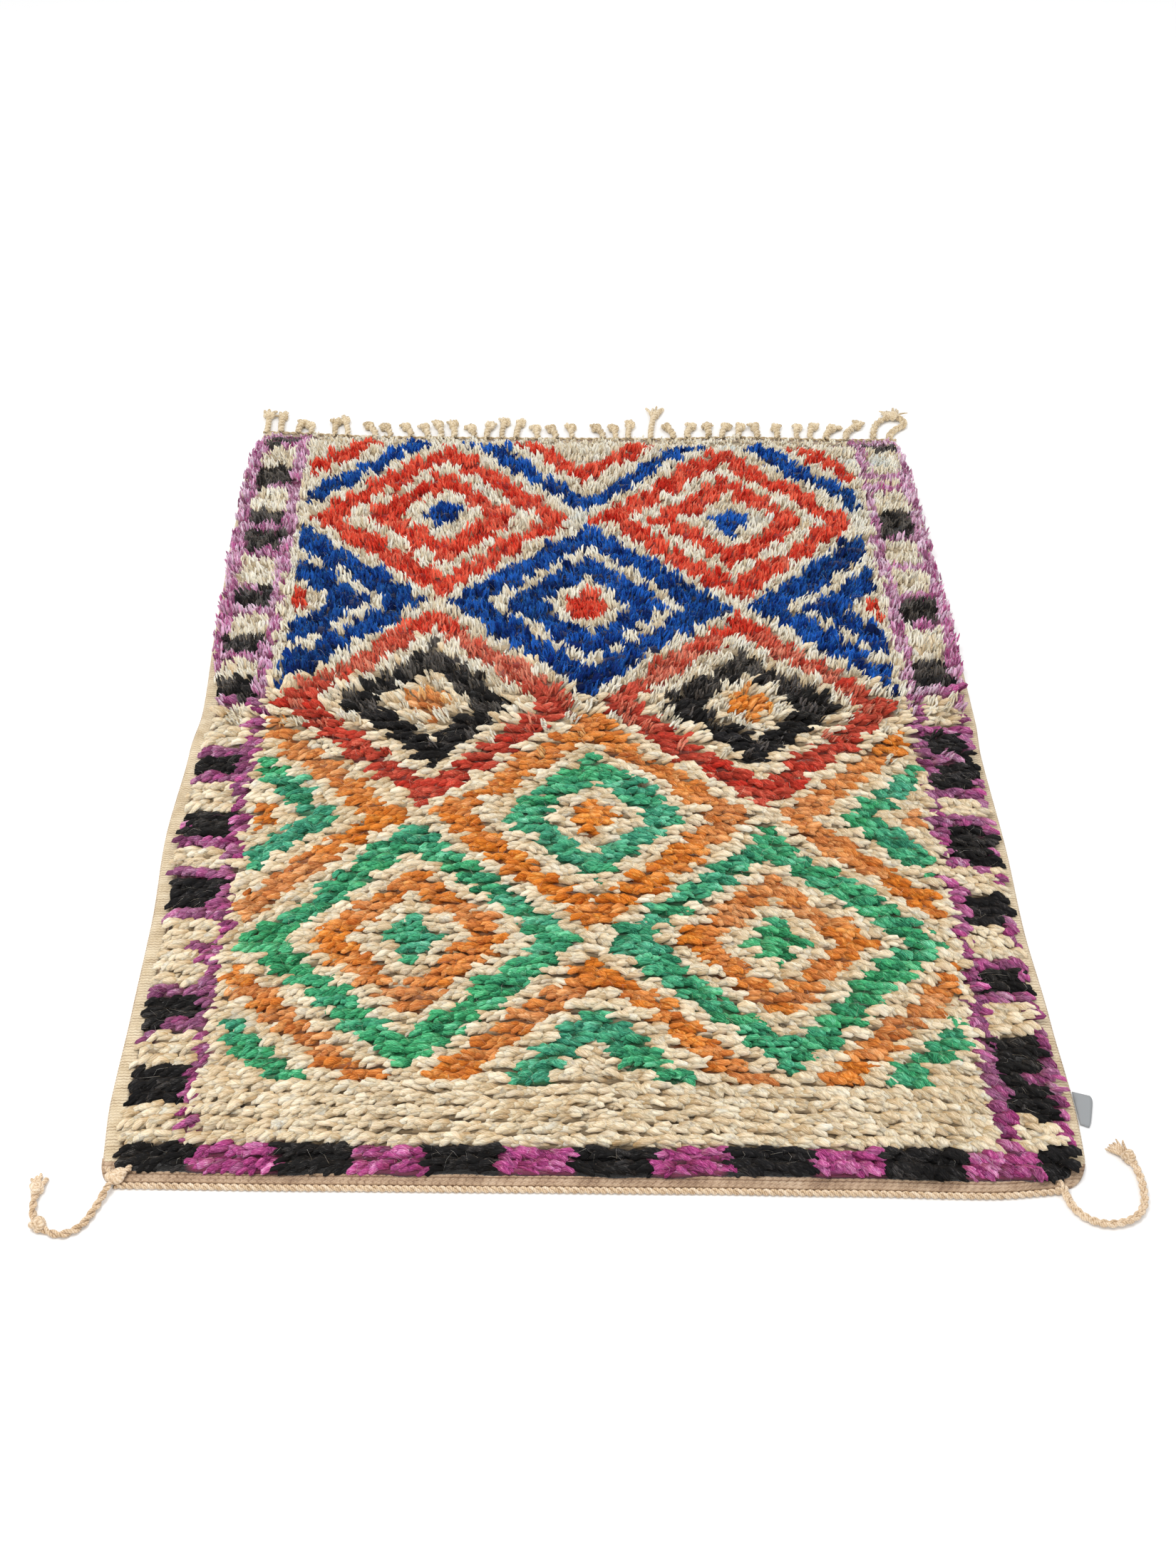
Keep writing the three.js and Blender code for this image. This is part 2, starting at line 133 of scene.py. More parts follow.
def softNoise(x, y, size, seed):
    # smooth uneven values from -1 to 1, about size wide
    random = np.random.default_rng(seed)
    grid = random.uniform(-1.0, 1.0, (int(1.5 / size) + 4, int(2.0 / size) + 4))
    u = (np.asarray(x) + 0.7) / size
    v = (np.asarray(y) + 0.2) / size
    i = np.clip(np.floor(u).astype(int), 0, grid.shape[0] - 2)
    j = np.clip(np.floor(v).astype(int), 0, grid.shape[1] - 2)
    a, b = smooth(u - i), smooth(v - j)
    low = grid[i, j] * (1 - a) + grid[i + 1, j] * a
    high = grid[i, j + 1] * (1 - a) + grid[i + 1, j + 1] * a
    return low * (1 - b) + high * b


# camera: looks down on the rug from just left of its middle, at the photograph's angle

cameraPlace = {
    "at": (-0.0660, -1.3827, 1.6800),
    "turn": 1.859,      # degrees to the right of straight ahead
    "down": 39.596,
    "roll": 1.713,
    "lens": 48.13,
    "sensor": 36.0,
}


def makeCamera():
    data = bpy.data.cameras.new("camera")
    data.lens = cameraPlace["lens"]
    data.sensor_width = cameraPlace["sensor"]
    camera = bpy.data.objects.new("camera", data)
    bpy.context.collection.objects.link(camera)
    turn = Matrix.Rotation(-math.radians(cameraPlace["turn"]), 4, "Z")
    tilt = Matrix.Rotation(math.radians(90.0 - cameraPlace["down"]), 4, "X")
    roll = Matrix.Rotation(math.radians(cameraPlace["roll"]), 4, "Z")
    place = Matrix.Translation(Vector(cameraPlace["at"]) + Vector(layoutShift))
    camera.matrix_world = place @ turn @ tilt @ roll
    bpy.context.scene.camera = camera


makeCamera()


# meshes

def newMesh(name, places, faces, maps=None, values=None, normals=None):
    # faces is a list of whole-number arrays, one for each number of corners; maps are UV maps by corner
    mesh = bpy.data.meshes.new(name)
    places = np.asarray(places, float) + layoutShift
    corner = np.concatenate([f.ravel() for f in faces]).astype(np.int32)
    widths = np.concatenate([np.full(len(f), f.shape[1]) for f in faces])
    mesh.vertices.add(len(places))
    mesh.vertices.foreach_set("co", places.astype(np.float32).ravel())
    mesh.loops.add(len(corner))
    mesh.loops.foreach_set("vertex_index", corner)
    mesh.polygons.add(len(widths))
    starts = np.concatenate([[0], np.cumsum(widths)[:-1]]).astype(np.int32)
    mesh.polygons.foreach_set("loop_start", starts)
    mesh.polygons.foreach_set("use_smooth", np.ones(len(widths), bool))
    mesh.update(calc_edges=True)
    for layer, uv in (maps or {}).items():
        made = mesh.uv_layers.new(name=layer)
        made.data.foreach_set("uv", np.concatenate(uv).astype(np.float32).ravel())
    for label, value in (values or {}).items():
        value = np.asarray(value, np.float32)
        kind, field = ("FLOAT_COLOR", "color") if value.ndim == 2 else ("FLOAT", "value")
        made = mesh.attributes.new(label, kind, "POINT")
        made.data.foreach_set(field, value.ravel())
    if normals is not None:
        mesh.normals_split_custom_set_from_vertices(normals)
    piece = bpy.data.objects.new(name, mesh)
    bpy.context.collection.objects.link(piece)
    return piece


def slab(name, x, y, top, floor, values=None):
    # a closed mesh: a grid of points (rows, columns) on top, straight sides, and one flat face below
    rows, columns = x.shape
    number = np.arange(rows * columns).reshape(rows, columns)
    rim = np.concatenate([number[0, :-1], number[:-1, -1], number[-1, :0:-1], number[:0:-1, 0]])
    places = np.stack([x, y, top], -1).reshape(-1, 3)
    low = places[rim] * (1.0, 1.0, 0.0) + (0.0, 0.0, floor)
    quads = np.stack([number[:-1, :-1], number[:-1, 1:], number[1:, 1:], number[1:, :-1]], -1).reshape(-1, 4)
    under = rows * columns + np.arange(len(rim))
    after = np.roll(np.arange(len(rim)), -1)
    walls = np.stack([under, under[after], rim[after], rim], -1)
    values = {label: np.concatenate([value, value[rim]]) for label, value in (values or {}).items()}
    faces = [np.concatenate([quads, walls]), under[None, ::-1]]
    return newMesh(name, np.concatenate([places, low]), faces, values=values)


def sweep(centres, radii, sides, across, flat=1.0, tips=None):
    # tubes along centres (tubes, rings, 3), each with a pointed end; across is each tube's sideways direction
    tubes, rings = centres.shape[:2]
    ahead = np.gradient(centres, axis=1)
    ahead /= np.linalg.norm(ahead, axis=2, keepdims=True) + 1e-12
    side = across - (across * ahead).sum(2, keepdims=True) * ahead
    side /= np.linalg.norm(side, axis=2, keepdims=True) + 1e-12
    up = np.cross(side, ahead)
    angle = 2 * np.pi * (np.arange(sides) + 0.5) / sides - np.pi / 2
    ring = (np.cos(angle)[None, None, :, None] * side[:, :, None, :]
            + flat * np.sin(angle)[None, None, :, None] * up[:, :, None, :])
    places = centres[:, :, None, :] + radii[:, :, None, None] * ring
    tip = centres[:, -1] + ahead[:, -1] * radii[:, -1:] * 0.9 if tips is None else tips
    places = np.concatenate([places.reshape(tubes, -1, 3), tip[:, None]], 1)
    facing = (np.cos(angle)[None, None, :, None] * side[:, :, None, :]
              + np.sin(angle)[None, None, :, None] / flat * up[:, :, None, :])
    facing = np.concatenate([facing.reshape(tubes, -1, 3), ahead[:, -1:]], 1)

    perTube = rings * sides + 1
    s = np.arange(sides)
    after = (s + 1) % sides
    r = np.arange(rings - 1)[:, None] * sides
    last = (rings - 1) * sides
    faces = [
        np.stack([r + s, r + sides + s, r + sides + after, r + after], -1).reshape(-1, 4),
        np.stack([last + s, np.full(sides, rings * sides), last + after], -1),
        s[None],
    ]
    first = (np.arange(tubes) * perTube)[:, None, None]
    faces = [(f[None] + first).reshape(-1, f.shape[1]) for f in faces]

    # a map of one tube: share of the way round, share of the length
    share = np.arange(rings) / rings
    u0, u1 = s / sides, (s + 1) / sides
    v0, v1 = share[:-1, None], share[1:, None]
    walls = [np.stack(np.broadcast_arrays(u, v), -1) for u, v in ((u0, v0), (u0, v1), (u1, v1), (u1, v0))]
    end = np.full(sides, share[-1])
    tips = [np.stack([u0, end], -1), np.stack([(u0 + u1) / 2, np.ones(sides)], -1), np.stack([u1, end], -1)]
    root = np.stack([u0, np.zeros(sides)], -1)
    maps = [np.stack(walls, 2).reshape(-1, 2), np.stack(tips, 1).reshape(-1, 2), root]
    along = np.append(np.repeat(np.linspace(0, 1, rings), sides), 1.0)
    return places.reshape(-1, 3), facing.reshape(-1, 3), faces, maps, np.tile(along, tubes), perTube


mapOfStrand = {
    "length": 0.025,         # how much yarn the map of fibres covers once
    "margin": 0.08,          # of a tube's cell in the map for baking
    "filled": 0.84,
}


def strandPiece(name, groups):
    # one mesh of several sets of tubes; in the map for baking every tube has a small cell of its own
    # soft: how far the normals turn towards those of the whole row, as light goes some way into loose wool
    wide = math.ceil(math.sqrt(sum(len(group["centres"]) for group in groups)))
    places, normals, faces, strand, bake = [], [], [], [], []
    tone, dye, along = [], [], []
    made, before = 0, 0
    for group in groups:
        points, facing, sides, maps, share, perTube = sweep(
            group["centres"], group["radii"], group["sides"], group["across"],
            group.get("flat", 1.0), group.get("tips"))
        tubes = len(group["centres"])
        number = made + np.arange(tubes)
        cell = np.stack([number % wide, number // wide], -1)[:, None]
        places.append(points)
        facing /= np.linalg.norm(facing, axis=1, keepdims=True) + 1e-12
        if "soft" in group:
            off = (points[:, 1] - np.repeat(group["rowLine"], perTube)) / (0.5 * pile["rowPitch"])
            off = np.clip(off, -1.0, 1.0)
            facing[:, 1] += group["soft"] * group["round"] * off
            facing[:, 2] += group["soft"]
        normals.append(facing / (np.linalg.norm(facing, axis=1, keepdims=True) + 1e-12))
        faces += [face + before for face in sides]
        lengths = group.get("length", mapOfStrand["length"]) / mapOfStrand["length"]
        strand += [np.tile(m * (1.0, lengths), (tubes, 1)) for m in maps]
        bake += [((cell + mapOfStrand["margin"] + mapOfStrand["filled"] * m[None]) / wide).reshape(-1, 2)
                 for m in maps]
        tone.append(np.repeat(group["tone"], perTube))
        dye.append(np.repeat(group["dye"], perTube))
        # where the painted root shade starts on each end: ends that skip part of it begin further along
        skipsRootShade = group.get("skipsRootShade", 0.0)
        along.append(skipsRootShade + (1 - skipsRootShade) * share)
        made += tubes
        before += len(points)
    values = {"tone": np.concatenate(tone), "dye": np.concatenate(dye), "along": np.concatenate(along)}
    return newMesh(name, np.concatenate(places), faces, {"OFBake": bake, "strand": strand}, values,
                   np.concatenate(normals))


def countTriangles(piece):
    return sum(len(face.vertices) - 2 for face in piece.data.polygons)


def dress(piece, material, slot, *nodes):
    # every piece rides on the rug's one body and stands for the CAD nodes that are named
    piece.data.materials.append(material)
    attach(piece, "root")
    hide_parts(*nodes)
    return piece


# materials

def linear(*rgb):
    return tuple((c / 255 / 12.92) if c <= 10 else ((c / 255 + 0.055) / 1.055) ** 2.4 for c in rgb) + (1.0,)


def addNode(tree, kind, inputs=None, **settings):
    made = tree.nodes.new(kind)
    for key, value in settings.items():
        setattr(made, key, value)
    for socket, value in (inputs or {}).items():
        if isinstance(value, bpy.types.NodeSocket):
            tree.links.new(value, made.inputs[socket])
        else:
            made.inputs[socket].default_value = value
    return made


def mixColour(tree, share, first, second, blend="MIX"):
    # sockets 6 and 7 are the two colours, and 2 is the mixed one
    inputs = {0: share, 6: first, 7: second}
    return addNode(tree, "ShaderNodeMix", inputs, data_type="RGBA", blend_type=blend).outputs[2]


def ramp(tree, share, stops):
    made = addNode(tree, "ShaderNodeValToRGB", {"Fac": share})
    band = made.color_ramp
    while len(band.elements) < len(stops):
        band.elements.new(0.5)
    for element, (at, colour) in zip(band.elements, stops):
        element.position = at
        element.color = colour
    return made.outputs["Color"]


def evenRamp(tree, share, shades):
    return ramp(tree, share, [(i / (len(shades) - 1), linear(*shade)) for i, shade in enumerate(shades)])


def grey(level):
    return (level, level, level, 1.0)


def readValue(tree, attribute, output="Fac"):
    return addNode(tree, "ShaderNodeAttribute", attribute_name=attribute).outputs[output]


def readPlace(tree):
    return addNode(tree, "ShaderNodeTexCoord").outputs["Object"]


def readStrand(tree):
    return addNode(tree, "ShaderNodeUVMap", uv_map="strand").outputs["UV"]


def add(tree, first, second):
    return addNode(tree, "ShaderNodeMath", {0: first, 1: second}, operation="ADD").outputs[0]


def multiply(tree, first, second):
    return addNode(tree, "ShaderNodeMath", {0: first, 1: second}, operation="MULTIPLY").outputs[0]


def stretch(tree, vector, factors):
    return addNode(tree, "ShaderNodeVectorMath", {0: vector, 1: factors}, operation="MULTIPLY").outputs[0]


def between(tree, value, low, high):
    # the value's share of the way from low to high
    made = addNode(tree, "ShaderNodeMapRange", {"Value": value, "From Min": low, "From Max": high})
    return made.outputs["Result"]


def noise(tree, vector, scale, detail, roughness=0.5, distortion=0.0):
    return addNode(tree, "ShaderNodeTexNoise", {
        "Vector": vector, "Scale": scale, "Detail": detail, "Roughness": roughness, "Distortion": distortion,
    })


def dyeLots(tree, shade, shades, faded):
    # wool of two dye lots: its own shades, and the faded ones that the attribute dye mixes in
    own, other = evenRamp(tree, shade, shades), evenRamp(tree, shade, faded)
    return mixColour(tree, readValue(tree, "dye"), own, other)


def colourAndRaise(tree, shader, colour, height, distance, strength=1.0):
    # the surface's colour, and its bump: a height map that stands this far out
    tree.links.new(colour, shader.inputs["Base Color"])
    bump = addNode(tree, "ShaderNodeBump", {"Height": height, "Strength": strength, "Distance": distance})
    tree.links.new(bump.outputs["Normal"], shader.inputs["Normal"])


def newMaterial(name, roughness=0.9, sheen=0.3, sheenTint=(1.0, 1.0, 1.0, 1.0), specular=0.15):
    material = bpy.data.materials.new(name)
    material.use_nodes = True
    tree = material.node_tree
    shader = tree.nodes["Principled BSDF"]
    shader.inputs["Roughness"].default_value = roughness
    shader.inputs["Sheen Weight"].default_value = sheen
    shader.inputs["Sheen Roughness"].default_value = 0.5
    shader.inputs["Sheen Tint"].default_value = sheenTint
    shader.inputs["Specular IOR Level"].default_value = specular
    return material, tree, shader


def woolMaterial(name, shades, faded, root):
    # shades: the wool's own colours from dark to light; faded: the other dye lot that dye mixes in
    # root: the painted shade that darkens the wool where its ends come out of the knots
    material, tree, shader = newMaterial(name, roughness=0.92, sheen=0.12, sheenTint=linear(*shades[1]))
    shader.inputs["Subsurface Weight"].default_value = 0.4
    shader.inputs["Subsurface Radius"].default_value = (1.0, 0.75, 0.5)
    shader.inputs["Subsurface Scale"].default_value = 0.004
    tone = readValue(tree, "tone")
    parts = addNode(tree, "ShaderNodeSeparateXYZ", {"Vector": readStrand(tree)})
    lengthwise = parts.outputs["Y"]
    # the fibres wind round each end, and differ from one end to the next
    wound = add(tree, parts.outputs["X"], multiply(tree, lengthwise, 0.55))
    apart = multiply(tree, tone, 37.0)
    spread = addNode(tree, "ShaderNodeCombineXYZ", {"X": wound, "Y": lengthwise, "Z": apart}).outputs[0]
    drawn = stretch(tree, spread, (11.0, 2.4, 1.0))
    fibres = noise(tree, drawn, scale=1.6, detail=4.0, roughness=0.75).outputs["Fac"]
    shade = add(tree, multiply(tree, fibres, 2.3), multiply(tree, tone, 0.8))
    shade = between(tree, shade, 1.03, 2.03)
    dyed = dyeLots(tree, shade, shades, faded)
    # painted shade: the colour is multiplied by the root tint at the root of each end and clears to its own
    # colour 0.7 of the way along
    middle = tuple(0.4 + 0.6 * c for c in root)
    depth = ramp(tree, readValue(tree, "along"),
                 [(0.0, root + (1.0,)), (0.30, middle + (1.0,)), (0.70, grey(1.0))])
    colour = mixColour(tree, 1.0, dyed, depth, "MULTIPLY")
    colourAndRaise(tree, shader, colour, fibres, distance=0.0007)
    return material


# pile: rows of knots; each row is a soft roll of wool with the cut ends of its yarn lying over it

pile = {
    "rowPitch": 0.0175,
    "firstRow": 0.033,       # where the first row is knotted in
    "rows": 83,
    "columns": 104,
    "inset": {"left": (0.022, 0.005), "right": (0.016, 0.005)},   # outermost ends, at the hem and the fringe
    "narrowsFrom": 0.76,     # from here on the second inset takes over
    "narrowsOver": 0.14,
    "standing": 0.0072,      # how far past its row a standing end shows
    "laid": 0.0190,          # and how much nearer to the hem a lying one does
    "turnsBackFrom": 0.66,   # the pile lies towards the hem before here
    "turnsBackTo": 0.92,     # and stands towards the fringe past here
    "rollFront": 0.0128,     # how high the rolls are
    "rollBack": 0.0178,
    "risesFrom": 0.45,
    "risesOver": 0.55,
    "band": 0.043,
    "lowFrom": 1.428,        # past here the pile gets lower, to where its last row ends
    "lowTo": 1.486,
    "seed": 11,
}

coloursOfPile = ["cream", "black", "magenta", "red", "blue", "green", "orange"]
cream, black, magenta, red, blue, green, orange = range(7)

# the checked side borders: what each stretch of knots starts at, going up from the hem
bordersLeft = [
    (0.000, cream), (0.100, black), (0.153, cream), (0.200, magenta), (0.218, black), (0.263, magenta),
    (0.275, cream), (0.327, magenta), (0.340, cream), (0.390, magenta), (0.408, black), (0.453, magenta),
    (0.467, cream), (0.508, magenta), (0.520, black), (0.568, cream), (0.625, magenta), (0.642, black),
    (0.682, magenta), (0.694, cream), (0.773, magenta), (0.788, black), (0.837, cream), (0.876, magenta),
    (0.890, black), (0.933, cream), (0.976, magenta), (0.990, black), (1.042, magenta), (1.055, cream),
    (1.115, magenta), (1.133, black), (1.186, magenta), (1.203, black), (1.236, magenta), (1.248, cream),
    (1.290, magenta), (1.303, black), (1.358, magenta), (1.370, cream), (1.412, magenta), (1.428, black),
    (1.466, magenta),
]
bordersRight = [
    (0.000, cream), (0.088, black), (0.143, magenta), (0.158, black), (0.210, cream), (0.256, magenta),
    (0.272, black), (0.310, magenta), (0.325, cream), (0.378, black), (0.432, cream), (0.478, magenta),
    (0.493, black), (0.556, magenta), (0.569, cream), (0.615, magenta), (0.628, black), (0.675, magenta),
    (0.690, black), (0.743, magenta), (0.756, cream), (0.820, magenta), (0.834, black), (0.882, cream),
    (0.967, magenta), (0.983, black), (1.035, magenta), (1.049, cream), (1.098, magenta), (1.113, cream),
    (1.172, magenta), (1.193, black), (1.267, cream), (1.312, magenta), (1.325, cream), (1.350, magenta),
    (1.366, cream), (1.430, black), (1.466, magenta),
]
bordersFront = [-0.414, -0.329, -0.250, -0.174, -0.095, -0.023, 0.058, 0.136, 0.219, 0.293, 0.381, 0.452]

borderShape = {
    "sway": 0.003,
    "frontRows": 2,
    "left": {"line": 0.487, "block": 0.434, "inner": 0.418},
    "right": {"line": 0.486, "block": 0.437, "inner": 0.421},
    "clear": 0.012,
    "plainFront": 0.140,
    "plainBack": 1.455,
}

# lozenges in a staggered lattice: what each row of them is striped with, from its edge inwards
lozenges = {
    "sway": 0.004,        # how far a row of knots is out of place
    "wander": 0.006,
    "across": 0.2092,     # half of one lozenge
    "along": 0.2200,
    "middle": 0.0030,
    "firstRow": 0.3500,
    "rows": {
        -1: [(0.012, cream), (0.032, orange), (0.024, cream), (0.034, green), (0.100, cream)],
        0: [(0.010, cream), (0.034, green), (0.022, cream), (0.034, orange), (0.024, cream), (0.100, green)],
        1: [(0.010, cream), (0.034, orange), (0.024, cream), (0.034, green), (0.024, cream), (0.100, orange)],
        2: [(0.010, cream), (0.034, red), (0.024, cream), (0.036, black), (0.022, cream), (0.100, orange)],
        3: [(0.008, cream), (0.042, blue), (0.016, cream), (0.040, blue), (0.018, cream), (0.100, red)],
        4: [(0.010, cream), (0.034, red), (0.022, cream), (0.034, red), (0.026, cream), (0.100, blue)],
        5: [(0.012, cream), (0.032, blue), (0.024, cream), (0.030, red), (0.100, cream)],
    },
}


def lozengeColours(x, y):
    u = (x - lozenges["middle"]) / lozenges["across"]
    v = (y - lozenges["firstRow"]) / lozenges["along"]
    # in the staggered lattice, centres lie where u and v are whole numbers that add up to an odd one
    i, j = np.round((u + v - 1) / 2), np.round((u - v - 1) / 2)
    row = (i - j).astype(int)
    away = 1 - np.abs(u - (i + j + 1)) - np.abs(v - row)
    slope = lozenges["across"] * lozenges["along"] / math.hypot(lozenges["across"], lozenges["along"])
    found = np.full(np.shape(x), cream)
    for key, stripes in lozenges["rows"].items():
        ends = np.cumsum([wide for wide, _ in stripes])
        kinds = np.array([kind for _, kind in stripes])
        band = kinds[np.clip(np.searchsorted(ends, away * slope), 0, len(stripes) - 1)]
        found = np.where(row == key, band, found)
    return found


def knotColours(x, y, row, random):
    sway = random.uniform(-lozenges["sway"], lozenges["sway"], pile["rows"])[row]
    wandered = x + sway + lozenges["wander"] * softNoise(x, y, 0.06, 31)
    found = lozengeColours(wandered, y + lozenges["wander"] * softNoise(x, y, 0.07, 32))
    found[(y < borderShape["plainFront"]) | (y > borderShape["plainBack"])] = cream
    shift = random.uniform(-borderShape["sway"], borderShape["sway"], pile["rows"])[row]
    for side, bands, shape in (
        (-1, bordersLeft, borderShape["left"]),
        (1, bordersRight, borderShape["right"]),
    ):
        out = side * x + shift
        starts = np.array([start for start, _ in bands])
        kinds = np.array([kind for _, kind in bands])
        band = kinds[np.clip(np.searchsorted(starts, y, side="right") - 1, 0, len(bands) - 1)]
        found[out > shape["inner"] - borderShape["clear"]] = cream
        found[out > shape["inner"]] = magenta
        inBlock = (out > shape["block"]) & (out < shape["line"])
        found[inBlock] = band[inBlock]
    front = row < borderShape["frontRows"]
    block = np.searchsorted(bordersFront, x)
    found[front] = np.where(block[front] % 2 == 0, black, magenta)
    return found


def turnedBack(y):
    return smooth((y - pile["turnsBackFrom"]) / (pile["turnsBackTo"] - pile["turnsBackFrom"]))


def bandAt(x, y):
    # the standing pile gathers into soft uneven bands: 1 along a band's ridge and -1 between two
    shifted = y + 0.014 * softNoise(x, y, 0.10, 38) + 0.007 * softNoise(x, y, 0.035, 39)
    return 2 * np.pi * shifted / pile["band"]


lean = {
    "parting": 0.11,         # how far from the middle the pile may still part
    "aside": 0.0190,         # lying ends
    "asideBack": 0.0050,     # standing ends
    "slant": 0.0044,         # of lying ends towards the hem, in the middle
    "slantMore": 0.0070,     # and what the sides add
    "sides": 0.45,
    "back": 0.0110,
    "bands": 0.0090,
}


def leanAt(x, y):
    # which way the pile leans and how far its ends lie from their knots
    back = turnedBack(y)
    out = np.where(x + lean["parting"] * softNoise(x, y, 0.075, 40) > 0, 1.0, -1.0)
    leanX = (1 - back) * lean["aside"] * out + back * lean["asideBack"] * out
    slant = lean["slant"] + lean["slantMore"] * smooth(np.abs(x) / lean["sides"])
    leanY = back * (lean["back"] - lean["bands"] * np.sin(bandAt(x, y))) - (1 - back) * slant
    return leanX, leanY


def rollHeight(x, y):
    back = smooth((y - pile["risesFrom"]) / pile["risesOver"])
    high = pile["rollFront"] + (pile["rollBack"] - pile["rollFront"]) * back
    high = high * (1 + 0.10 * softNoise(x, y, 0.07, 35) + 0.09 * softNoise(x, y, 0.022, 36))
    high = high * (1 + 0.20 * turnedBack(y) * np.cos(bandAt(x, y)))
    return high * np.clip((pile["lowTo"] - y) / (pile["lowTo"] - pile["lowFrom"]), 0.30, 1.0)


def rowPlaces(across, row):
    # where the ends of the knots of a row show, for shares across the rug
    knotted = pile["firstRow"] + row * pile["rowPitch"]
    share = smooth((knotted - pile["narrowsFrom"]) / pile["narrowsOver"])
    insets = [front + (back - front) * share for front, back in pile["inset"].values()]
    left = sideEdge(knotted, -1) + insets[0]
    right = sideEdge(knotted, 1) - insets[1]
    x = left + across * (right - left)
    wave = 0.0030 * softNoise(x, knotted, 0.055, 33) + 0.0016 * softNoise(x, knotted, 0.018, 34)
    lies = 1 - turnedBack(knotted)
    y = knotted + pile["standing"] - pile["laid"] * lies + endWander(x, knotted) + wave
    return x, y


def makeKnots(random):
    row, column = np.divmod(np.arange(pile["rows"] * pile["columns"]), pile["columns"])
    x, y = rowPlaces((column + 0.5) / pile["columns"], row)
    return x, y, row, knotColours(x, y, row, random)


# painted shade multiplied in at the roots of the ends, for every colour but cream
paintedRootShade = (0.42, 0.33, 0.24)
woolLooks = {
    "cream": {
        "shades": [(178, 152, 114), (229, 211, 181), (252, 242, 221)],
        "faded": [(166, 176, 176), (204, 214, 212), (234, 236, 228)],
        # the cream's painted root shade, lighter and warmer
        "root": (0.70, 0.55, 0.36),
    },
    "black": {
        "shades": [(8, 7, 7), (29, 28, 27), (94, 90, 86)],
        "faded": [(9, 9, 10), (31, 30, 31), (96, 92, 92)],
    },
    "magenta": {
        "shades": [(86, 16, 58), (187, 78, 142), (244, 186, 220)],
        "faded": [(74, 32, 58), (156, 94, 132), (238, 206, 222)],
        "mixed": 0.34,
    },
    "red": {
        "shades": [(124, 8, 6), (206, 34, 22), (248, 96, 70)],
        "faded": [(120, 38, 28), (188, 72, 54), (236, 146, 120)],
    },
    "blue": {
        "shades": [(0, 8, 34), (2, 34, 112), (30, 96, 196)],
        "faded": [(1, 9, 28), (4, 26, 78), (24, 74, 152)],
    },
    "green": {
        "shades": [(10, 68, 38), (68, 174, 114), (158, 234, 186)],
        "faded": [(14, 72, 56), (76, 168, 132), (160, 226, 198)],
    },
    "orange": {
        "shades": [(150, 64, 6), (222, 129, 41), (250, 190, 114)],
        "faded": [(158, 84, 40), (216, 148, 92), (246, 206, 164)],
    },
}


dyeing = {
    "byRow": 0.3,
    "cream": {"from": 1.12, "over": 0.20},
    "red": {"from": 1.02, "over": 0.16, "share": 0.85, "patchy": 0.25},
    "magenta": {"from": 0.06, "over": 0.10, "share": 0.75, "patchy": 0.40},
    "other": {"share": 0.40, "patchy": 0.60},
}


def dyeShare(kind, x, y, row, random):
    # how much of the other dye lot the wool has: it changes from row to row and in soft patches
    # cream has it towards the fringe, red towards the hem, and magenta everywhere but at the hem
    byRow = random.uniform(-dyeing["byRow"], dyeing["byRow"], pile["rows"])[row]
    patch = softNoise(x, y, 0.11, 51 + kind)
    top, old, late, usual = dyeing["cream"], dyeing["red"], dyeing["magenta"], dyeing["other"]
    fadedTop = smooth((y - top["from"]) / top["over"]) * (2.0 * softNoise(x, y, 0.055, 57) - 1.0)
    oldRed = smooth((old["from"] - y) / old["over"]) * old["share"] + old["patchy"] * patch + byRow
    oldMagenta = smooth((y - late["from"]) / late["over"]) * late["share"] + late["patchy"] * patch + byRow
    other = usual["share"] + usual["patchy"] * patch + byRow
    share = np.select([kind == cream, kind == red, kind == magenta], [fadedTop, oldRed, oldMagenta], other)
    return np.clip(share, 0.0, 1.0)


# the rolls under the loose ends: how each row swells across its depth, first lying down and then upright

rolls = {
    "across": 108,
    "place": (-0.50, -0.43, -0.20, 0.12, 0.38),       # in row pitches from the row's middle
    "lying": (0.24, 0.62, 0.74, 0.70, 0.48),
    "upright": (0.46, 0.84, 1.00, 0.96, 0.76),
    "floor": 0.0038,
    "lumps": 0.13,
    "shoulder": (0.012, 0.12),     # how much of the row's ends is rounded, and down to what share
    # painted shade: how much of the painted shade in the hollows between rows is taken away where the pile
    # stands
    "crestBack": 0.45,             # how much lighter the hollows are where the pile stands
}


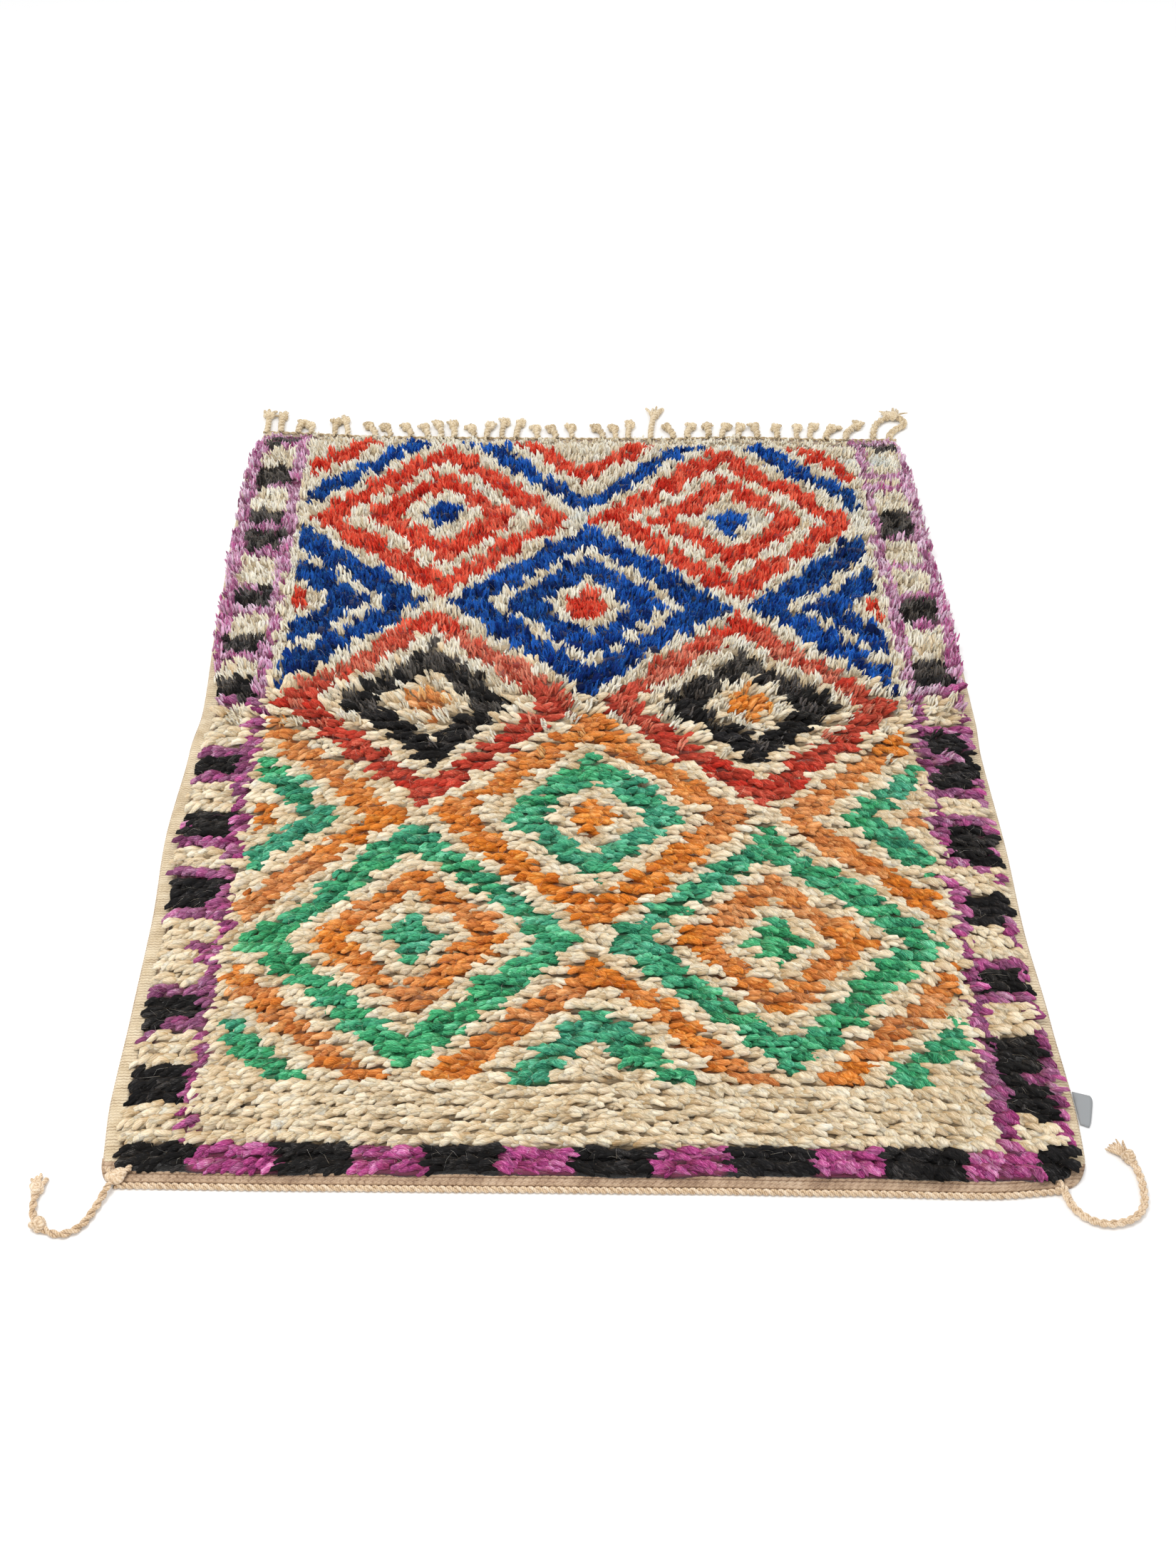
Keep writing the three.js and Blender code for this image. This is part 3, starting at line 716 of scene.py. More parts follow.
def makeRolls(knots, random):
    knotColumn = knots[3].reshape(pile["rows"], pile["columns"])
    steps = len(rolls["place"])
    row = np.repeat(np.arange(pile["rows"]), steps)[:, None]
    across = np.linspace(0, 1, rolls["across"])[None]
    x, y = rowPlaces(across, row)
    place = np.tile(rolls["place"], pile["rows"])[:, None]
    y = y + place * pile["rowPitch"]
    back = turnedBack(y)
    swell = (np.tile(rolls["lying"], pile["rows"])[:, None] * (1 - back)
             + np.tile(rolls["upright"], pile["rows"])[:, None] * back)
    lump = 1 + rolls["lumps"] * softNoise(x, y, 0.011, 37)
    rounded, least = rolls["shoulder"]
    shoulder = np.sqrt(np.clip(np.minimum(across, 1 - across) / rounded, least, 1.0))
    z = rollHeight(x, y) * swell * lump * shoulder
    column = np.clip((across * pile["columns"]).astype(int), 0, pile["columns"] - 1)
    kind = knotColumn[row, column]
    dye = dyeShare(kind, x, y, np.broadcast_to(row, x.shape), random)
    colour = np.zeros(x.shape + (4,))
    for number, name in enumerate(coloursOfPile):
        own = np.array(linear(*woolLooks[name]["shades"][1]))
        other = np.array(linear(*woolLooks[name]["faded"][1]))
        mixed = own + (other - own) * dye[..., None]
        colour = np.where((kind == number)[..., None], mixed, colour)
    # painted shade: the material darkens each point of a roll by how low it lies, so the hollows between rows
    # are painted dark, less so where the pile stands
    shadeByHeight = swell + (1 - swell) * rolls["crestBack"] * back
    values = {"wool": colour.reshape(-1, 4), "shadeByHeight": shadeByHeight.ravel()}
    return dress(slab("woolRolls", x, y, z, rolls["floor"], values), rollMaterial(), "wool_pile", "rug_body")


def rollMaterial():
    material, tree, shader = newMaterial("rollWool", roughness=0.95, sheen=0.3)
    laid = stretch(tree, readPlace(tree), (0.30, 1.0, 1.0))
    fibres = noise(tree, laid, scale=520.0, detail=4.0, roughness=0.7, distortion=1.6).outputs["Fac"]
    light = ramp(tree, fibres, [(0.28, grey(0.45)), (0.46, grey(0.86)), (0.72, grey(1.0))])
    # painted shade: dark brown in the hollows between the rolls, nearly their own colour on the crests
    depth = ramp(tree, readValue(tree, "shadeByHeight"), [
        (0.40, (0.12, 0.08, 0.04, 1.0)),
        (0.72, (0.62, 0.54, 0.42, 1.0)),
        (0.96, (0.90, 0.86, 0.78, 1.0)),
    ])
    lit = mixColour(tree, 1.0, readValue(tree, "wool", "Color"), light, "MULTIPLY")
    colourAndRaise(tree, shader, mixColour(tree, 1.0, lit, depth, "MULTIPLY"), fibres, distance=0.003)
    return material


# the loose ends: what they are like where the pile lies down and where it stands

# painted light: each shape also shifts the tone of its ends, standing ends lighter and lying ones darker
ends = {
    # each shape gives the share of the painted root shade that its ends skip
    "lying": {
        "number": 3, "length": 0.0250, "thick": 0.0038, "flat": 0.80, "sides": 4,
        "at": (0.12, 0.50, 0.86), "profile": (0.80, 1.05, 0.84), "from": 46.0, "to": 120.0,
        "depths": (-0.0034, 0.0000, 0.0031), "fall": 0.0056, "sunk": 0.60, "spread": 0.0006,
        "ragged": 0.20, "gather": 0.0, "uneven": 0.0012, "aside": 0.020,
        "skipsRootShade": 0.10, "paintedLight": -0.20, "contrast": 0.7, "soft": 0.9, "round": 1.1,
    },
    "upright": {
        "number": 10, "length": 0.0180, "thick": 0.0016, "flat": 0.90, "sides": 3,
        "at": (0.26, 0.78), "profile": (1.05, 0.96), "from": 8.0, "to": 46.0,
        "depths": (0.0,), "fall": 0.0, "sunk": 0.60, "spread": 0.0038,
        "ragged": 0.40, "gather": 0.0080, "uneven": 0.0030, "aside": 0.0,
        "skipsRootShade": 0.30, "paintedLight": 0.17, "contrast": 1.3, "soft": 1.0, "round": 0.0,
    },
    "changeAt": 0.80,
    "changeOver": 0.060,
    "patches": (             # what leans its own way: its size, how far, and its seed
        (0.075, 0.0050, 41),
        (0.024, 0.0050, 43),
    ),
    "patchesAlong": 0.3,     # how much of a patch's lean goes along the rug
    "fullLean": 0.0205,      # how far from its knot an end lies that has bent over all the way
    "knotWide": 0.0098,
    "lengths": (0.84, 1.16),
    "widths": (0.78, 1.24),
    "swells": (0.88, 1.12),
    "frontShort": 0.42,      # the least share of their length that the ends at the front have
    "bends": (18.0, 132.0),  # the least and the most that an end turns, in degrees
    "bentAlways": 0.35,      # the share of its bend that an end has where nothing leans
    "firstRowBends": 14.0,
    "startVaries": 6.0,
    "bendVaries": 11.0,
    "strayAside": 0.0014,
    "strayUp": 0.0010,
    "sways": 0.0016,
    "alike": 0.5,            # how much the ends of one knot have the same shade
    # painted light: how much lighter standing ends are on a band's ridge, and darker between bands
    "ridgePaintedLight": 0.12,
    "dyeMixed": 0.12,
    "lowest": 0.0052,
    "highest": 0.0412,
}


def bend(length, start, finish, at):
    # how far forward and up the points of an end lie, which turns over evenly from start to finish
    turn = (finish - start)[:, None]
    t = np.array(at)[None] * np.ones((len(length), 1))
    angle = start[:, None] + turn * t
    forward = length[:, None] * (np.cos(start)[:, None] - np.cos(angle)) / turn
    rise = length[:, None] * (np.sin(angle) - np.sin(start)[:, None]) / turn
    return t, forward, rise


def yarnEnds(x, y, row, shape, random):
    # the middle lines and thickness of the yarn ends of these knots
    number = shape["number"]
    count = len(x) * number
    lift, turnX, turnY = random.normal(0, shape["uneven"], (3, len(x)))
    aside = random.normal(0, shape["aside"], len(x))
    x, y, row, lift, turnX, turnY, aside = (
        np.repeat(v, number) for v in (x, y, row, lift, turnX, turnY, aside))
    place = (np.tile(np.arange(number), len(x) // number) + 0.5) / number - 0.5
    low = np.clip((pile["lowTo"] - y) / (pile["lowTo"] - pile["lowFrom"]), ends["frontShort"], 1.0)
    leanX, leanY = leanAt(x + aside, y)
    for size, amount, seed in ends["patches"]:
        leanX = leanX + amount * softNoise(x, y, size, seed)
        leanY = leanY + ends["patchesAlong"] * amount * softNoise(x, y, size, seed + 1)
    leanX = leanX + turnX - shape["gather"] * place
    leanY = leanY + turnY
    heading = np.arctan2(leanY, leanX) + random.normal(0, shape["ragged"], count)
    reach = np.hypot(leanX, leanY) / ends["fullLean"]
    ahead = np.stack([np.cos(heading), np.sin(heading), np.zeros(count)], -1)
    across = np.stack([-ahead[:, 1], ahead[:, 0], np.zeros(count)], -1)
    length = shape["length"] * random.uniform(*ends["lengths"], count) * low
    start = np.radians(shape["from"] * np.clip(reach, 0.2, 1.2)
                       + random.normal(0, ends["startVaries"], count))
    share = ends["bentAlways"] + (1 - ends["bentAlways"]) * reach
    finish = np.radians(np.clip(shape["to"] * share, *ends["bends"]))
    finish = finish + np.radians(random.normal(0, ends["bendVaries"], count))
    finish = finish + np.radians(ends["firstRowBends"]) * (row == 0)
    t, forward, rise = bend(length, start, finish, shape["at"] + (1.0,))
    middle = 0.5 * forward[:, -1:]
    lines = np.arange(number) + random.integers(0, 3, (len(x) // number, 1))
    depth = np.array(shape["depths"])[lines.ravel() % len(shape["depths"])]
    px = x + ends["knotWide"] * place + random.normal(0, ends["strayAside"], count)
    py = y + depth + random.normal(0, shape["spread"], count)
    fall = shape["fall"] * (2 * depth / pile["rowPitch"]) ** 2
    sunk = rollHeight(px, py) * shape["sunk"] + lift - fall
    sunk = sunk + random.normal(0, ends["strayUp"], count)
    sway = ends["sways"] * np.sin(2 * np.pi * (1.1 * t + random.uniform(0, 1, (count, 1)))) * t
    centres = np.stack([
        px[:, None] + (forward - middle) * ahead[:, :1] + sway * across[:, :1],
        py[:, None] + (forward - middle) * ahead[:, 1:2] + sway * across[:, 1:2],
        np.clip(sunk[:, None] + rise, ends["lowest"], ends["highest"]),
    ], -1)
    thick = shape["thick"] * random.uniform(*ends["widths"], count)
    swell = random.uniform(*ends["swells"], (count, t.shape[1] - 1))
    radii = np.array(shape["profile"])[None] * thick[:, None] * swell
    return centres[:, :-1], radii, across, centres[:, -1]


hairs = {
    "share": {"cream": 0.45, "black": 0.80},     # hairs for each knot
    "otherShare": 0.08,
    "thick": (0.00005, 0.00011),
    "length": (0.012, 0.026),
    "strays": 0.004,         # how far from its knot a hair starts
    "turns": 0.8,
    "curls": 2.6,
    "above": 1.08,           # times the roll's height
    "lift": 0.004,
    "arch": 0.003,
    "tip": (-0.002, 0.004),
}


def looseHairs(x, y, share, random):
    # single plies that have worked loose and lie over the pile
    count = int(share * len(x))
    pick = random.integers(0, len(x), count)
    hx = x[pick] + random.normal(0, hairs["strays"], count)
    hy = y[pick] + random.normal(0, hairs["strays"], count)
    leanX, leanY = leanAt(hx, hy)
    heading = np.arctan2(leanY, leanX) + random.normal(0, hairs["turns"], count)
    length = random.uniform(*hairs["length"], count)
    t = np.array([0.0, 0.5, 1.0])[None] * np.ones((count, 1))
    turn = heading[:, None] + random.normal(0, hairs["curls"], (count, 1)) * t
    step = np.diff(t, axis=1, prepend=0.0) * length[:, None]
    px = hx[:, None] + np.cumsum(np.cos(turn) * step, 1)
    py = hy[:, None] + np.cumsum(np.sin(turn) * step, 1)
    high = rollHeight(hx, hy) * hairs["above"] + random.uniform(0.0, hairs["lift"], count)
    pz = high[:, None] + hairs["arch"] * np.sin(np.pi * t) + random.uniform(*hairs["tip"], (count, 1)) * t
    centres = np.stack([px, py, pz], -1)
    across = np.stack([-np.sin(heading), np.cos(heading), np.zeros(count)], -1)
    radii = np.array([0.8, 1.0])[None] * random.uniform(*hairs["thick"], (count, 1))
    return centres[:, :-1], radii, across, centres[:, -1]


def endGroup(knots, pick, kind, shape, random):
    x, y, row = (v[pick] for v in knots[:3])
    centres, radii, across, tips = yarnEnds(x, y, row, shape, random)
    count, number = len(centres), shape["number"]
    dye = dyeShare(np.full(count, kind), *(np.repeat(v, number) for v in (x, y, row)), random)
    alike = ends["alike"]
    # painted light: ends on a band's ridge get a lighter tone and ends between bands a darker one
    ridge = (ends["ridgePaintedLight"] * turnedBack(y) * np.cos(bandAt(x, y))).repeat(number)
    tone = alike * random.uniform(0, 1, len(x)).repeat(number) + (1 - alike) * random.uniform(0, 1, count)
    tone = 0.5 + shape["contrast"] * (tone - 0.5)
    mixed = woolLooks[coloursOfPile[kind]].get("mixed", ends["dyeMixed"])
    return {
        "centres": centres, "radii": radii, "across": across[:, None], "sides": shape["sides"], "tips": tips,
        # the tone carries the painted light of the band ridges and of each shape's shift
        "flat": shape["flat"], "skipsRootShade": shape["skipsRootShade"], "tone": tone + ridge + shape["paintedLight"],
        "soft": shape["soft"], "round": shape["round"], "rowLine": np.repeat(y, number),
        "dye": np.clip(dye + random.normal(0, mixed, count), 0, 1),
    }


def hairGroup(x, y, share, random):
    centres, radii, across, tips = looseHairs(x, y, share, random)
    count = len(centres)
    return {"centres": centres, "radii": radii, "across": across[:, None], "sides": 3, "tips": tips,
            "tone": random.uniform(0.5, 1, count), "dye": random.uniform(0, 0.5, count)}


# cream wool covers most of the rug, so it is made in a few stretches
stretches = {"cream": [("creamFront", 0.00, 0.44), ("creamMiddle", 0.44, 0.86),
                       ("creamUpper", 0.86, 1.20), ("creamTop", 1.20, 2.00)]}


def makePile():
    random = np.random.default_rng(pile["seed"])
    knots = makeKnots(random)
    x, y, _, colour = knots
    stands = y + random.normal(0, ends["changeOver"], len(y)) > ends["changeAt"]
    made = [makeRolls(knots, random)]
    for kind, name in enumerate(coloursOfPile):
        look = woolLooks[name]
        material = woolMaterial(name + "Wool", look["shades"], look["faded"], look.get("root", paintedRootShade))
        for pieceName, low, high in stretches.get(name, [(name + "Pile", -1.0, 2.0)]):
            here = (colour == kind) & (y >= low) & (y < high)
            groups = []
            for shape, part in (("lying", here & ~stands), ("upright", here & stands)):
                if part.any():
                    groups.append(endGroup(knots, part, kind, ends[shape], random))
            near = (y >= low) & (y < high) if name == "cream" else here
            share = hairs["share"].get(name, hairs["otherShare"])
            groups.append(hairGroup(x[near], y[near], share, random))
            piece = dress(strandPiece(pieceName, groups), material, "wool_pile", "rug_body")
            made.append(piece)
            print("pile", pieceName, here.sum(), "knots", countTriangles(piece), "triangles")
    return made


print("camera and layout ready")
pilePieces = makePile()


# cloth: the flat weave that carries the knots

def stripes(tree, vector, direction):
    # a sine wave along a direction: as many waves a metre (or a turn) as the direction is long
    along = addNode(tree, "ShaderNodeVectorMath", {0: vector, 1: direction}, operation="DOT_PRODUCT")
    turns = multiply(tree, along.outputs["Value"], 2 * math.pi)
    return addNode(tree, "ShaderNodeMath", {0: turns}, operation="SINE").outputs[0]


def weaveMaterial(name, shades):
    # a coarse matt weave of hand-spun yarn
    material, tree, shader = newMaterial(name, roughness=0.95, sheen=0.3)
    place = readPlace(tree)
    wander = stretch(tree, noise(tree, place, scale=60.0, detail=2.0).outputs["Color"], (0.006, 0.006, 0.0))
    bent = addNode(tree, "ShaderNodeVectorMath", {0: place, 1: wander}, operation="ADD").outputs[0]
    warp = stripes(tree, bent, (240.0, 60.0, 0.0))
    weft = stripes(tree, bent, (0.0, 330.0, 0.0))
    patches = noise(tree, place, scale=45.0, detail=5.0).outputs["Fac"]
    grain = noise(tree, place, scale=620.0, detail=4.0, roughness=0.7).outputs["Fac"]
    crossed = multiply(tree, multiply(tree, warp, weft), 0.10)
    mixed = add(tree, add(tree, patches, grain), crossed)
    colour = evenRamp(tree, between(tree, mixed, 0.65, 1.35), shades)
    # painted shade: the weave is darkened where it lies low, between its raised stitches and wraps; the
    # ground cloth, at an even 0.6, only a little
    depth = ramp(tree, readValue(tree, "raised"), [(0.0, linear(160, 138, 114)), (0.65, grey(1.0))])
    colour = mixColour(tree, 1.0, colour, depth, "MULTIPLY")
    colourAndRaise(tree, shader, colour, mixed, distance=0.0016, strength=0.9)
    return material


clothWeave = weaveMaterial("clothWeave", [(132, 102, 78), (186, 156, 126), (216, 190, 162)])
selvedgeWeave = weaveMaterial("selvedgeWeave", [(190, 166, 128), (222, 202, 168), (240, 226, 198)])


def clothGrid(y, columns, inset=0.0):
    # points from side to side for each y: x, then y before and after the ends wander from straight
    share = np.linspace(0.0, 1.0, columns)
    left, right = sideEdge(y, -1) + inset, sideEdge(y, 1) - inset
    x = left[:, None] + share[None] * (right - left)[:, None]
    straight = y[:, None] * np.ones_like(x)
    return x, straight, straight + endWander(x, straight)


ground = {"columns": 56, "rows": 84, "inset": 0.0012, "sunk": 0.0012, "uneven": 0.0003, "raised": 0.6}


def makeGround():
    lines = np.linspace(0.0, rug["clothLength"], ground["rows"])
    x, _, y = clothGrid(lines, ground["columns"], ground["inset"])
    rise = ground["uneven"] * softNoise(x, y, 0.05, 61)
    piece = slab("groundCloth", x, y, rug["clothTop"] - ground["sunk"] + rise, rug["clothBottom"],
                 {"raised": np.full(x.size, ground["raised"])})
    return dress(piece, clothWeave, "ground_weave", "rug_body")


def woven(u, v):
    # over-and-under bumps, staggered from row to row, from 0 to 1
    row = np.floor(v)
    over = np.abs(np.sin(np.pi * (u + 0.5 * (row % 2))))
    return np.sqrt(over) * np.sqrt(np.abs(np.sin(np.pi * v)))


hem = {
    "depth": 0.030,
    "stitch": 0.0084,
    "row": 0.0052,
    "height": 0.0011,
    "sunk": 0.0008,
    "columns": 480,
    "rows": 21,
}


def makeHem():
    lines = np.linspace(-0.0002, hem["depth"], hem["rows"])
    x, straight, y = clothGrid(lines, hem["columns"])
    slant = x + 0.35 * straight + 0.0008 * softNoise(x, straight, 0.03, 62)
    bumps = woven(slant / hem["stitch"], straight / hem["row"])
    top = rug["clothTop"] - hem["sunk"] + hem["height"] * bumps
    piece = slab("hemWeave", x, y, top, rug["clothBottom"] - 0.0001, {"raised": bumps.ravel()})
    return dress(piece, clothWeave, "ground_weave", "rug_body")


selvedges = {
    "wide": 0.019,
    "wrap": 0.0042,          # from one turn of its yarn to the next
    "height": 0.0011,
    "sunk": 0.0006,
    "outerHeight": 0.0018,
    "cord": 0.0009,          # how far its warp cords stand up
    "pinch": 0.0005,         # how far the outer edge draws in between turns
    "rows": 1120,
    "columns": 7,
}


def makeSelvedge(side):
    y = np.linspace(hem["depth"] - 0.004, rug["clothLength"] - 0.001, selvedges["rows"])
    share = np.linspace(0.0, 1.0, selvedges["columns"])
    edge = sideEdge(y, side)
    wraps = np.abs(np.sin(np.pi * y / selvedges["wrap"] + 0.6 * softNoise(0 * y, y, 0.02, 63)))
    gx = (edge[:, None] - side * share[None] * selvedges["wide"]
          - side * selvedges["pinch"] * (1 - wraps[:, None]))
    gy = y[:, None] + endWander(gx, y[:, None] * np.ones_like(gx))
    rounded = np.sqrt(np.clip(1 - (1 - np.clip(share / 0.35, 0, 1)) ** 2, 0, 1))
    cord = selvedges["cord"] * np.sin(np.pi * share * 3.0) ** 2
    low = selvedges["outerHeight"]
    top = (low + (rug["clothTop"] - low) * rounded[None] + cord[None]
           + selvedges["height"] * wraps[:, None] - selvedges["sunk"])
    raised = np.broadcast_to(wraps[:, None], gx.shape)
    if side > 0:
        gx, gy, top = gx[:, ::-1], gy[:, ::-1], top[:, ::-1]
    name = "selvedgeLeft" if side < 0 else "selvedgeRight"
    piece = slab(name, gx, gy, top, rug["clothBottom"] - 0.0002, {"raised": raised.ravel()})
    return dress(piece, selvedgeWeave, "ground_weave", "rug_body")


groundCloth = makeGround()
hemWeave = makeHem()
edgesWoven = [makeSelvedge(-1), makeSelvedge(1)]
print("cloth, hem and selvedges made")


# cords: twisted and plaited yarn along a route

def alongRoute(points, spacing):
    # a smooth line through the points, sampled evenly
    p = np.asarray(points, float)
    if p.shape[1] == 2:
        p = np.concatenate([p, np.zeros((len(p), 1))], 1)
    padded = np.concatenate([[2 * p[0] - p[1]], p, [2 * p[-1] - p[-2]]])
    pieces = []
    t = np.linspace(0, 1, 24, endpoint=False)[:, None]
    for k in range(len(p) - 1):
        a, b, c, d = padded[k:k + 4]
        pieces.append(0.5 * ((2 * b) + (c - a) * t + (2 * a - 5 * b + 4 * c - d) * t * t
                             + (3 * b - a - 3 * c + d) * t * t * t))
    line = np.concatenate(pieces + [p[-1:]])
    reach = np.concatenate([[0], np.cumsum(np.linalg.norm(np.diff(line, axis=0), axis=1))])
    count = max(4, int(round(reach[-1] / spacing)) + 1)
    at = np.linspace(0, reach[-1], count)
    return np.stack([np.interp(at, reach, line[:, i]) for i in range(3)], -1), reach[-1]


def sideAndUp(line):
    ahead = np.gradient(line, axis=0)
    ahead /= np.linalg.norm(ahead, axis=1, keepdims=True)
    side = np.cross([0.0, 0.0, 1.0], ahead)
    side /= np.linalg.norm(side, axis=1, keepdims=True) + 1e-12
    return side, np.cross(ahead, side)


strandShare = {"laid": 0.52, "plaited": 0.40, "knotted": 0.44}     # a strand's thickness, of the whole's


def laidStrands(line, length, radius, pitch, start=0.0):
    # two strands laid round each other; returns their middle lines and thickness
    side, up = sideAndUp(line)
    s = np.linspace(0, length, len(line))
    own = radius * strandShare["laid"]
    off = radius - own
    out = []
    for k in range(2):
        angle = 2 * np.pi * (s / pitch + k / 2) + start
        out.append(line + (off * np.cos(angle))[:, None] * side + (off * np.sin(angle))[:, None] * up)
    return np.array(out), np.full((2, len(line)), own)


def plaitStrands(line, length, radius, pitch):
    # a flat three-strand plait
    side, up = sideAndUp(line)
    s = np.linspace(0, length, len(line))
    own = radius * strandShare["plaited"]
    out = []
    for k in range(3):
        angle = 2 * np.pi * (s / pitch + k / 3)
        out.append(line + ((radius - own) * np.sin(angle))[:, None] * side
                   + (0.66 * own * np.sin(2 * angle))[:, None] * up)
    return np.array(out), np.full((3, len(line)), own)


def knotStrand(centre, half, turn):
    # one overhand knot pulled tight, as a single thick strand
    t = np.linspace(0, 2 * np.pi, 30, endpoint=False)
    x = (np.sin(t) + 2 * np.sin(2 * t)) / 3.0
    y = (np.cos(t) - 2 * np.cos(2 * t)) / 3.0
    z = -np.sin(3 * t)
    own = strandShare["knotted"] * min(half[0], half[1])
    x, y = x * (half[0] - own), y * (half[1] - own)
    c, s = math.cos(turn), math.sin(turn)
    line = np.stack([centre[0] + c * x - s * y, centre[1] + s * x + c * y,
                     centre[2] + z * max(half[2] - own, 0.0005)], -1)
    return line[None], np.full((1, len(t)), own)


locks = {
    "at": (0.0, 0.4, 0.75, 1.0),
    "blunt": (0.9, 1.0, 1.0, 0.85),
    "tapered": (0.9, 1.0, 0.9, 0.55),
    "uneven": 0.08,          # how unevenly the locks of a tuft are spread
    "outerShort": 0.14,      # how much shorter the outermost are
    "lengths": (0.85, 1.10),
    "widths": (0.80, 1.15),
    "curls": 0.22,
    "rests": 0.95,           # from the floor to the middle of a lock, of its thickness
    "falls": 0.85,           # how much of its height a lock has lost at its tip
    "lifts": 0.003,
}


def tuftLocks(start, toward, tuft, random):
    # the cut ends of a bundle of yarn, lying over the floor
    share = np.linspace(-1, 1, tuft["number"]) + random.normal(0, locks["uneven"], tuft["number"])
    heading = math.atan2(toward[1], toward[0]) + tuft["spread"] * share
    shorter = 1 - locks["outerShort"] * np.abs(share)
    length = tuft["length"] * shorter * random.uniform(*locks["lengths"], len(share))
    t = np.array(locks["at"])[None]
    turn = heading[:, None] + random.normal(0, locks["curls"], (len(share), 1)) * t
    across = np.stack([-np.sin(heading), np.cos(heading), np.zeros(len(share))], -1)
    wide = (tuft["bundle"] * share)[:, None]
    x = start[0] + wide * across[:, :1] + length[:, None] * t * np.cos(turn)
    y = start[1] + wide * across[:, 1:2] + length[:, None] * t * np.sin(turn)
    floor = tuft["thick"] * locks["rests"]
    lift = random.uniform(0, locks["lifts"], (len(share), 1)) * t
    z = floor + (start[2] - floor) * (1 - locks["falls"] * t) + lift
    profile = locks["blunt"] if tuft.get("blunt") else locks["tapered"]
    radii = np.array(profile)[None] * tuft["thick"] * random.uniform(*locks["widths"], (len(share), 1))
    return np.stack([x, y, z], -1), radii, across[:, None]


def yarnGroup(centres, radii, sides, random, across=None):
    if across is None:
        across = np.broadcast_to(np.array([0.0, 0.0, 1.0]), centres.shape)
    length = float(np.linalg.norm(np.diff(centres[0], axis=0), axis=1).sum())
    return {"centres": centres, "radii": radii, "across": across, "sides": sides, "length": length,
            "tone": random.uniform(0, 1, len(centres)), "dye": random.uniform(0, 1, len(centres))}


def laidGroup(route, cord, random, start=0.0):
    line, length = alongRoute(route, cord["step"])
    centres, radii = laidStrands(line, length, cord["radius"], cord["pitch"], start)
    return yarnGroup(centres, radii, cord["sides"], random)


def tuftGroup(start, toward, tuft, random):
    centres, radii, across = tuftLocks(start, toward, tuft, random)
    return yarnGroup(centres, radii, 5, random, across)


def yarnMaterial(name, shades, faded):
    # hand-spun yarn: fine plies slant round every strand
    material, tree, shader = newMaterial(name, roughness=0.95, sheen=0.3)
    place = readPlace(tree)
    plies = stripes(tree, readStrand(tree), (3.0, 9.0, 0.0))
    patches = noise(tree, place, scale=150.0, detail=4.0).outputs["Fac"]
    grain = noise(tree, place, scale=900.0, detail=3.0).outputs["Fac"]
    mixed = add(tree, add(tree, patches, grain), multiply(tree, readValue(tree, "tone"), 0.30))
    mixed = add(tree, mixed, multiply(tree, plies, 0.16))
    shade = between(tree, mixed, 0.62, 1.58)
    colourAndRaise(tree, shader, dyeLots(tree, shade, shades, faded), mixed, distance=0.0010, strength=0.6)
    return material


tanYarn = yarnMaterial("tanYarn", [(122, 90, 60), (200, 170, 134), (230, 208, 180)],
                       [(144, 114, 82), (212, 186, 154), (240, 224, 202)])
paleYarn = yarnMaterial("paleYarn", [(118, 92, 56), (204, 182, 144), (238, 222, 194)],
                        [(126, 100, 66), (204, 184, 150), (236, 222, 196)])


def yarnPiece(name, groups, nodes, material=tanYarn, slot="plaited_yarn"):
    return dress(strandPiece(name, groups), material, slot, *nodes)


edging = {
    "first": -0.489,
    "last": 0.473,
    "radius": 0.0038,
    "pitch": 0.0150,
    "step": 0.0018,          # from one ring of a strand to the next
    "sides": 5,
    "gap": 0.0003,
    "seed": 21,
}
leads = {                    # where the edging's yarns run on into the right tie
    "radius": 0.0040,
    "pitch": 0.018,
    "step": 0.0016,
    "sides": 5,
    "routes": [
        [(0.4700, -0.0035, 0.0046), (0.4760, -0.0045, 0.0050),
         (0.4800, -0.0100, 0.0052), (0.4815, -0.0190, 0.0050)],
        [(0.4740, 0.0060, 0.0062), (0.4775, 0.0010, 0.0072),
         (0.4790, -0.0050, 0.0064), (0.4805, -0.0140, 0.0052)],
    ],
}


def makeEdging():
    random = np.random.default_rng(edging["seed"])
    x = np.linspace(edging["first"], edging["last"], 60)
    y = endWander(x, 0 * x) - 2 * edging["gap"] - edging["radius"]
    route = np.stack([x, y, np.full(len(x), edging["radius"])], -1)
    groups = [laidGroup(route, edging, random)]
    groups += [laidGroup(lead, leads, random) for lead in leads["routes"]]
    return yarnPiece("hemEdging", groups, ["bottom_edge_cord"], slot="ground_weave")


